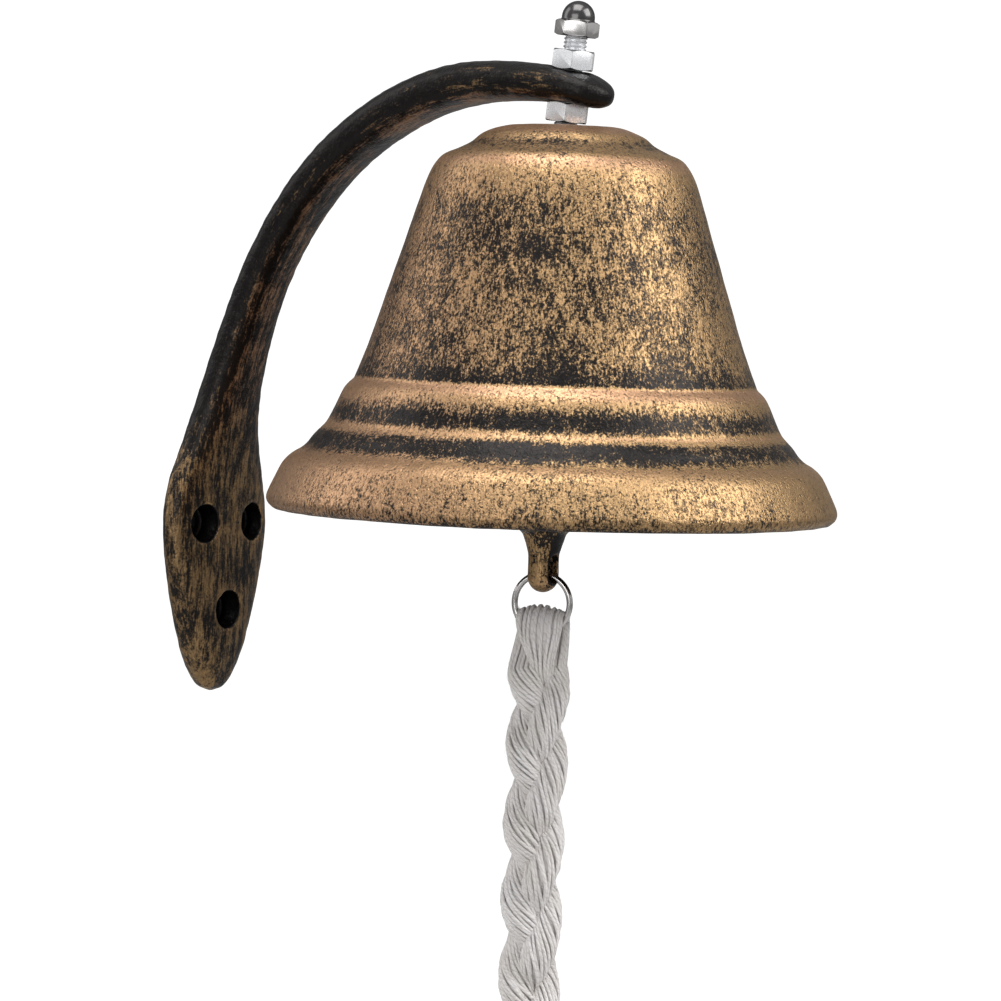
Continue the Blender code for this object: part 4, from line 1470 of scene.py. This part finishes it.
class Strand:
    """One strand of the plait: it weaves between the other two, and at the top it goes over the ring's wire."""

    JOIN = -0.0396  # where the legs of the bend leave the plait
    TWIST = 0.050  # length in which a strand turns once in itself

    def __init__(self, sizes, which, ring_radius):
        self.sizes = sizes
        self.which = which
        self.ring_radius = ring_radius
        self.way = -1 if which == 0 else 1
        self.middle = (0.0, -0.0046, 0.0046)[which]
        self.fan_half = (0.0075, 0.0034, 0.0034)[which]

    def woven(self, z, share, turn):
        """(along, through, up) of a point on the strand where it is plaited; share is 1 on its skin."""
        sizes = self.sizes
        rate = 2 * math.pi / sizes.period
        phase = math.radians(START) + rate * (self.JOIN - z) + self.which * 2 * math.pi / 3
        lean = math.atan(sizes.half_swing * rate * math.cos(phase))
        tight = 1 - 0.08 * math.cos(2 * phase)
        share *= 1 - 0.13 * math.sin(2 * phase)
        round_ = turn + TWIST_WAY * 2 * math.pi * (z - self.JOIN) / self.TWIST
        a, b = ellipse(sizes.strand_half_width * tight, sizes.strand_half_depth / tight, round_)
        along = sizes.half_swing * math.sin(phase) + share * a * math.cos(lean)
        through_ = WEAVE_WAY * sizes.half_weave * math.sin(2 * phase) + share * b
        return Vector((along, through_, z + share * a * math.sin(lean)))

    def bent(self, turn, share, angle):
        """A point on the strand where it goes over the wire, from its own side at angle 0 to the other at pi."""
        a, b = ellipse(self.fan_half, 0.0012, turn)
        u = self.middle + share * a
        wire_up = RING_CENTRE.z - math.sqrt(self.ring_radius**2 - u**2)
        crown = max(0.0, 1 - ((u - 0.4 * self.middle) / 0.0082) ** 2)
        high, deep = (0.0022 + 0.0066 * crown, 0.0024 + 0.0028 * crown)
        if self.which:
            high, deep = (0.0022 + 0.0026 * crown, 0.0024 + 0.0020 * crown)
        over = share * b * self.way
        fall = 1 - (0.10 if self.which == 0 else 0.30) * angle
        return Vector((u, self.way * (deep * fall + over) * math.cos(angle), wire_up + (high * fall + over) * math.sin(angle)))

    def line(self, bottom, turn, share=1.0, wave=0.0, odd=0.0, steps=176):
        """The whole way of one yarn, from the rope's end up into the plait and over the wire."""
        points = []
        for i in range(steps + 1):
            sway = wave * math.sin(0.31 * i + odd) * min(1.0, (steps - i) / 12)
            points.append(self.woven(bottom + (self.JOIN - bottom) * i / steps, share * (1 + sway), turn + 2 * sway))
        here, there = points[-1], self.bent(turn, share, 0.0)
        for i in range(1, 12):
            t = i / 12
            ease = t * t * (3 - 2 * t)
            point = here.lerp(there, t)
            point.x = here.x + (there.x - here.x) * ease
            point.y += self.way * 0.0009 * math.sin(math.pi * t)
            points.append(point)
        over = 2.2 if self.which == 0 else 2.0
        points += [self.bent(turn, share, over * i / 12) for i in range(13)]
        return points


class WALLBELL_OT_rope(bpy.types.Operator):
    """Plaits the cotton rope, lays it over the ring, and ties off its end in a knot and a tassel"""

    bl_idname = "wallbell.rope"
    bl_label = "Rope"

    def execute(self, context):
        sizes = context.scene.bell_rope
        braid_low, braid_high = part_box("rope_braid")
        knot_low, knot_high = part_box("rope_knot")
        tassel_low, tassel_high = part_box("rope_tassel")
        rope = self.plaited(sizes, braid_low.z, context.scene.bell_clapper.ring_radius)
        knot = self.knot(knot_low, knot_high, sizes)
        tassel = self.tassel(tassel_low, tassel_high, sizes)
        finished(rope, cotton(), "rope", "cotton", "rope_bight", "rope_braid")
        finished(knot, cotton(), "rope", "cotton", "rope_knot")
        finished(tassel, cotton(), "rope", "cotton", "rope_tassel")
        return {"FINISHED"}

    def plaited(self, sizes, bottom, ring_radius):
        """Three strands of yarns round a soft core, with stray fibres standing off them."""
        draw = random.Random(11)
        yarns, cores = [], []
        for which in range(3):
            strand = Strand(sizes, which, ring_radius)
            for i in range(sizes.yarns):
                turn = 2 * math.pi * (i + draw.uniform(-0.16, 0.16)) / sizes.yarns
                share = draw.uniform(0.93, 1.05)
                wave, odd = draw.uniform(0.02, 0.07), draw.uniform(0, 6.28)
                yarns.append([across_rope(p) for p in strand.line(bottom, turn, share, wave, odd)])
            cores.append([[across_rope(p) for p in strand.line(bottom, 2 * math.pi * k / 10, 0.80)] for k in range(10)])
        rope = yarn_mesh("plaited_rope", yarns, sizes.yarn_radius, sides=5)
        pieces = [tube_mesh(f"strand_core_{i}", core) for i, core in enumerate(cores)]
        pieces.append(yarn_mesh("stray_fibres", stray_fibres(yarns, 3200, draw), 0.000045, sides=3))
        pick_up(rope)
        for piece in pieces:
            piece.select_set(True)
        bpy.ops.object.join()
        return rope

    def knot(self, low, high, sizes):
        """A plaited turban of five bights, worked round the rope's end."""
        middle = (low + high) / 2
        tall = (high.z - low.z) / 2
        wide = (high.x - low.x) / 2
        lines = []
        count = 7
        for yarn in range(count):
            offset = (yarn - (count - 1) / 2) * 0.00118
            line = []
            total = 430
            for step in range(total + 1):
                turn = 6 * math.pi * step / total
                phase = 5 / 3 * turn
                swing = 0.80 * math.cos(phase)
                slope = -0.80 * 5 / 3 * math.sin(phase)
                latitude = swing + offset / wide * 1.1 / math.hypot(1, slope)
                out = wide * 0.88 + 0.0011 * math.sin(2 * phase) - 0.0009 * abs(yarn - (count - 1) / 2) ** 2 / 9
                shifted = turn - offset / wide * slope / math.hypot(1, slope) / max(0.35, math.cos(swing))
                reach = out * math.cos(latitude)
                line.append(
                    middle
                    + Vector((reach * math.cos(shifted), reach * math.sin(shifted), tall * 0.98 * math.sin(latitude)))
                )
            lines.append(line)
        knot = yarn_mesh("turban_knot", lines, sizes.yarn_radius)
        lay_down()
        bpy.ops.mesh.primitive_uv_sphere_add(segments=40, ring_count=24, radius=1)
        core = named("knot_core")
        placed(core, Matrix.Translation(middle) @ Matrix.Diagonal((wide * 0.84, wide * 0.84, tall * 0.93, 1)))
        core.data.uv_layers[0].name = "yarn"
        core.data.shade_smooth()
        pick_up(knot)
        core.select_set(True)
        bpy.ops.object.join()
        return knot

    def tassel(self, low, high, sizes):
        """Loose yarn ends, gathered under the knot and opening downwards."""
        draw = random.Random(5)
        middle = (low + high) / 2
        wide = (high.x - low.x) / 2 - 0.0012
        tall = high.z - low.z
        lines = []
        count = 130
        for i in range(count):
            share = math.sqrt((i + 0.5) / count)
            turn = i * 2.39996
            wave, odd = draw.uniform(0.0002, 0.0007), draw.uniform(0, 6.28)
            length = tall * draw.uniform(0.90, 0.995)
            line = []
            for step in range(25):
                t = step / 24
                reach = wide * share * (0.50 + 0.48 * math.sin(min(1.0, t * 1.5) * math.pi / 2) - 0.06 * t)
                sway = wave * t * math.sin(9 * t + odd)
                line.append(
                    Vector(
                        (
                            middle.x + reach * math.cos(turn) + sway,
                            middle.y + reach * math.sin(turn) + wave * t * math.cos(7 * t + odd),
                            high.z + 0.0022 - length * t,
                        )
                    )
                )
            lines.append(line)
        return yarn_mesh("loose_tassel", lines, sizes.yarn_radius * 0.95)


# ---- Stage -----------------------------------------------------------------------------------------------------


# Soft boxes: name, degrees right of the camera, elevation, distance, width, height, watts.
LAMPS = (
    ("right_box", 72, 34, 1.3, 0.9, 0.9, 13.0),
    ("left_box", -100, 30, 1.3, 0.6, 1.0, 3.5),
    ("front_box", -25, 10, 1.6, 1.2, 0.8, 7.0),
    ("top_box", -15, 74, 1.3, 1.0, 1.0, 15.0),
)
ROOM_LIGHT = 0.50


class WALLBELL_OT_stage(bpy.types.Operator):
    """Sets the camera, the pale floor that sweeps up behind, and the soft lights"""

    bl_idname = "wallbell.stage"
    bl_label = "Stage"

    def execute(self, context):
        sizes = context.scene.bell_stage
        self.camera(sizes)
        self.sweep(sizes)
        toward = math.atan2(-sizes.camera_aim[1], -sizes.camera_aim[0])
        for name, azimuth, elevation, away, wide, tall, power in LAMPS:
            self.light(name, toward + math.radians(azimuth), math.radians(elevation), away, wide, tall, power)
        self.world(context.scene)
        context.scene.view_settings.view_transform = "Standard"
        return {"FINISHED"}

    def camera(self, sizes):
        data = bpy.data.cameras.new("camera")
        data.lens = sizes.lens
        data.sensor_width = 36
        data.clip_end = 50
        camera = bpy.data.objects.new("camera", data)
        bpy.context.scene.collection.objects.link(camera)
        camera.location = sizes.camera_place
        camera.rotation_mode = "QUATERNION"
        aim = Vector(sizes.camera_aim).to_track_quat("-Z", "Y")
        camera.rotation_quaternion = aim @ Quaternion((0, 0, 1), sizes.roll)
        bpy.context.scene.camera = camera

    def sweep(self, sizes):
        """A floor whose far edge is extruded up into a backdrop, the fold rounded."""
        lay_down()
        bpy.ops.mesh.primitive_plane_add(size=14, location=(0, 0, sizes.floor))
        floor = named("pale_sweep")
        away = math.atan2(sizes.camera_aim[1], sizes.camera_aim[0])
        bpy.ops.object.mode_set(mode="EDIT")
        bpy.ops.mesh.select_mode(type="EDGE")
        bpy.ops.mesh.select_all(action="DESELECT")
        shape = bmesh.from_edit_mesh(floor.data)
        for edge in shape.edges:
            edge.select = all(v.co.x > 6.9 for v in edge.verts)
        bmesh.update_edit_mesh(floor.data)
        bpy.ops.mesh.extrude_region_move(TRANSFORM_OT_translate={"value": (0, 0, 7)})
        bpy.ops.mesh.select_all(action="DESELECT")
        shape = bmesh.from_edit_mesh(floor.data)
        for edge in shape.edges:
            edge.select = all(v.co.x > 6.9 and abs(v.co.z) < 0.1 for v in edge.verts)
        bmesh.update_edit_mesh(floor.data)
        bpy.ops.mesh.bevel(offset=2.0, segments=16)
        lay_down()
        placed(floor, Matrix.Rotation(away, 4, "Z") @ Matrix.Translation((-2.0, 0, sizes.floor)))
        smoothed(floor, 40)
        material, tree, shader = new_material("pale_paper")
        here = put(tree, "ShaderNodeTexCoord").outputs["Object"]
        tone = ranged(tree, noise(tree, here, 3.0, 2.0), 0.3, 0.7, 0.0, 1.0)
        tree.links.new(mixed(tree, tone, (0.46, 0.46, 0.46, 1), (0.50, 0.50, 0.50, 1)), shader["Base Color"])
        shader["Roughness"].default_value = 0.9
        shader["Specular IOR Level"].default_value = 0.1
        shader["Emission Color"].default_value = (1, 1, 1, 1)
        seen = put(tree, "ShaderNodeLightPath").outputs["Is Camera Ray"]
        tree.links.new(sum_of(tree, "MULTIPLY", seen, 0.85), shader["Emission Strength"])
        floor.data.materials.append(material)

    def light(self, name, compass, elevation, away, wide, tall, power):
        """A soft box this far from the bell, turned towards it."""
        bell = Vector((0, BELL_AXIS_Y, 0.04))
        level = math.cos(elevation)
        towards = Vector((math.cos(compass) * level, math.sin(compass) * level, math.sin(elevation)))
        data = bpy.data.lights.new(name, "AREA")
        data.shape = "RECTANGLE"
        data.size = wide
        data.size_y = tall
        data.energy = power
        lamp = bpy.data.objects.new(name, data)
        bpy.context.scene.collection.objects.link(lamp)
        lamp.location = bell + towards * away
        lamp.rotation_mode = "QUATERNION"
        lamp.rotation_quaternion = (-towards).to_track_quat("-Z", "Y")

    def world(self, scene):
        """Pale room light, dimmer to everything but the eye."""
        world = bpy.data.worlds.new("studio")
        world.use_nodes = True
        tree = world.node_tree
        seen = put(tree, "ShaderNodeLightPath").outputs["Is Camera Ray"]
        strength = sum_of(tree, "MULTIPLY_ADD", seen, 1.0 - ROOM_LIGHT, ROOM_LIGHT)
        shader = tree.nodes["Background"]
        shader.inputs["Color"].default_value = (1, 1, 1, 1)
        tree.links.new(strength, shader.inputs["Strength"])
        scene.world = world


# ---- Panel and registration ------------------------------------------------------------------------------------


class WALLBELL_PT_panel(bpy.types.Panel):
    """Sizes, colours and build steps of the wall bell"""

    bl_idname = "WALLBELL_PT_panel"
    bl_label = "Wall Bell"
    bl_space_type = "VIEW_3D"
    bl_region_type = "UI"
    bl_category = "Wall Bell"

    def draw(self, context):
        for group, steps in PANEL_ROWS:
            box = self.layout.box()
            sizes = getattr(context.scene, group)
            for key in sizes.__annotations__:
                box.prop(sizes, key)
            for step in steps:
                box.operator(step.bl_idname)


GROUPS = {
    "bell_stage": StageSizes,
    "bell_finish": FinishColours,
    "bell_bracket": BracketSizes,
    "bell_bell": BellSizes,
    "bell_hardware": HardwareSizes,
    "bell_clapper": ClapperSizes,
    "bell_rope": RopeSizes,
}
STEPS = (
    WALLBELL_OT_stage,
    WALLBELL_OT_rope,
    WALLBELL_OT_bracket,
    WALLBELL_OT_bell,
    WALLBELL_OT_nuts,
    WALLBELL_OT_stud,
    WALLBELL_OT_clapper,
)
PANEL_ROWS = (
    ("bell_stage", (WALLBELL_OT_stage,)),
    ("bell_finish", ()),
    ("bell_bracket", (WALLBELL_OT_bracket,)),
    ("bell_bell", (WALLBELL_OT_bell,)),
    ("bell_hardware", (WALLBELL_OT_nuts, WALLBELL_OT_stud)),
    ("bell_clapper", (WALLBELL_OT_clapper,)),
    ("bell_rope", (WALLBELL_OT_rope,)),
)


def register():
    for cls in (*GROUPS.values(), *STEPS, WALLBELL_PT_panel):
        bpy.utils.register_class(cls)
    for key, cls in GROUPS.items():
        setattr(bpy.types.Scene, key, PointerProperty(type=cls))


def unregister():
    for key in GROUPS:
        delattr(bpy.types.Scene, key)
    for cls in reversed((*GROUPS.values(), *STEPS, WALLBELL_PT_panel)):
        bpy.utils.unregister_class(cls)


def main():
    register()
    bpy.ops.wallbell.stage()
    bpy.ops.wallbell.rope()
    bpy.ops.wallbell.bracket()
    bpy.ops.wallbell.bell()
    bpy.ops.wallbell.nuts()
    bpy.ops.wallbell.stud()
    bpy.ops.wallbell.clapper()
    lay_down()


if __name__ == "__main__":
    main()
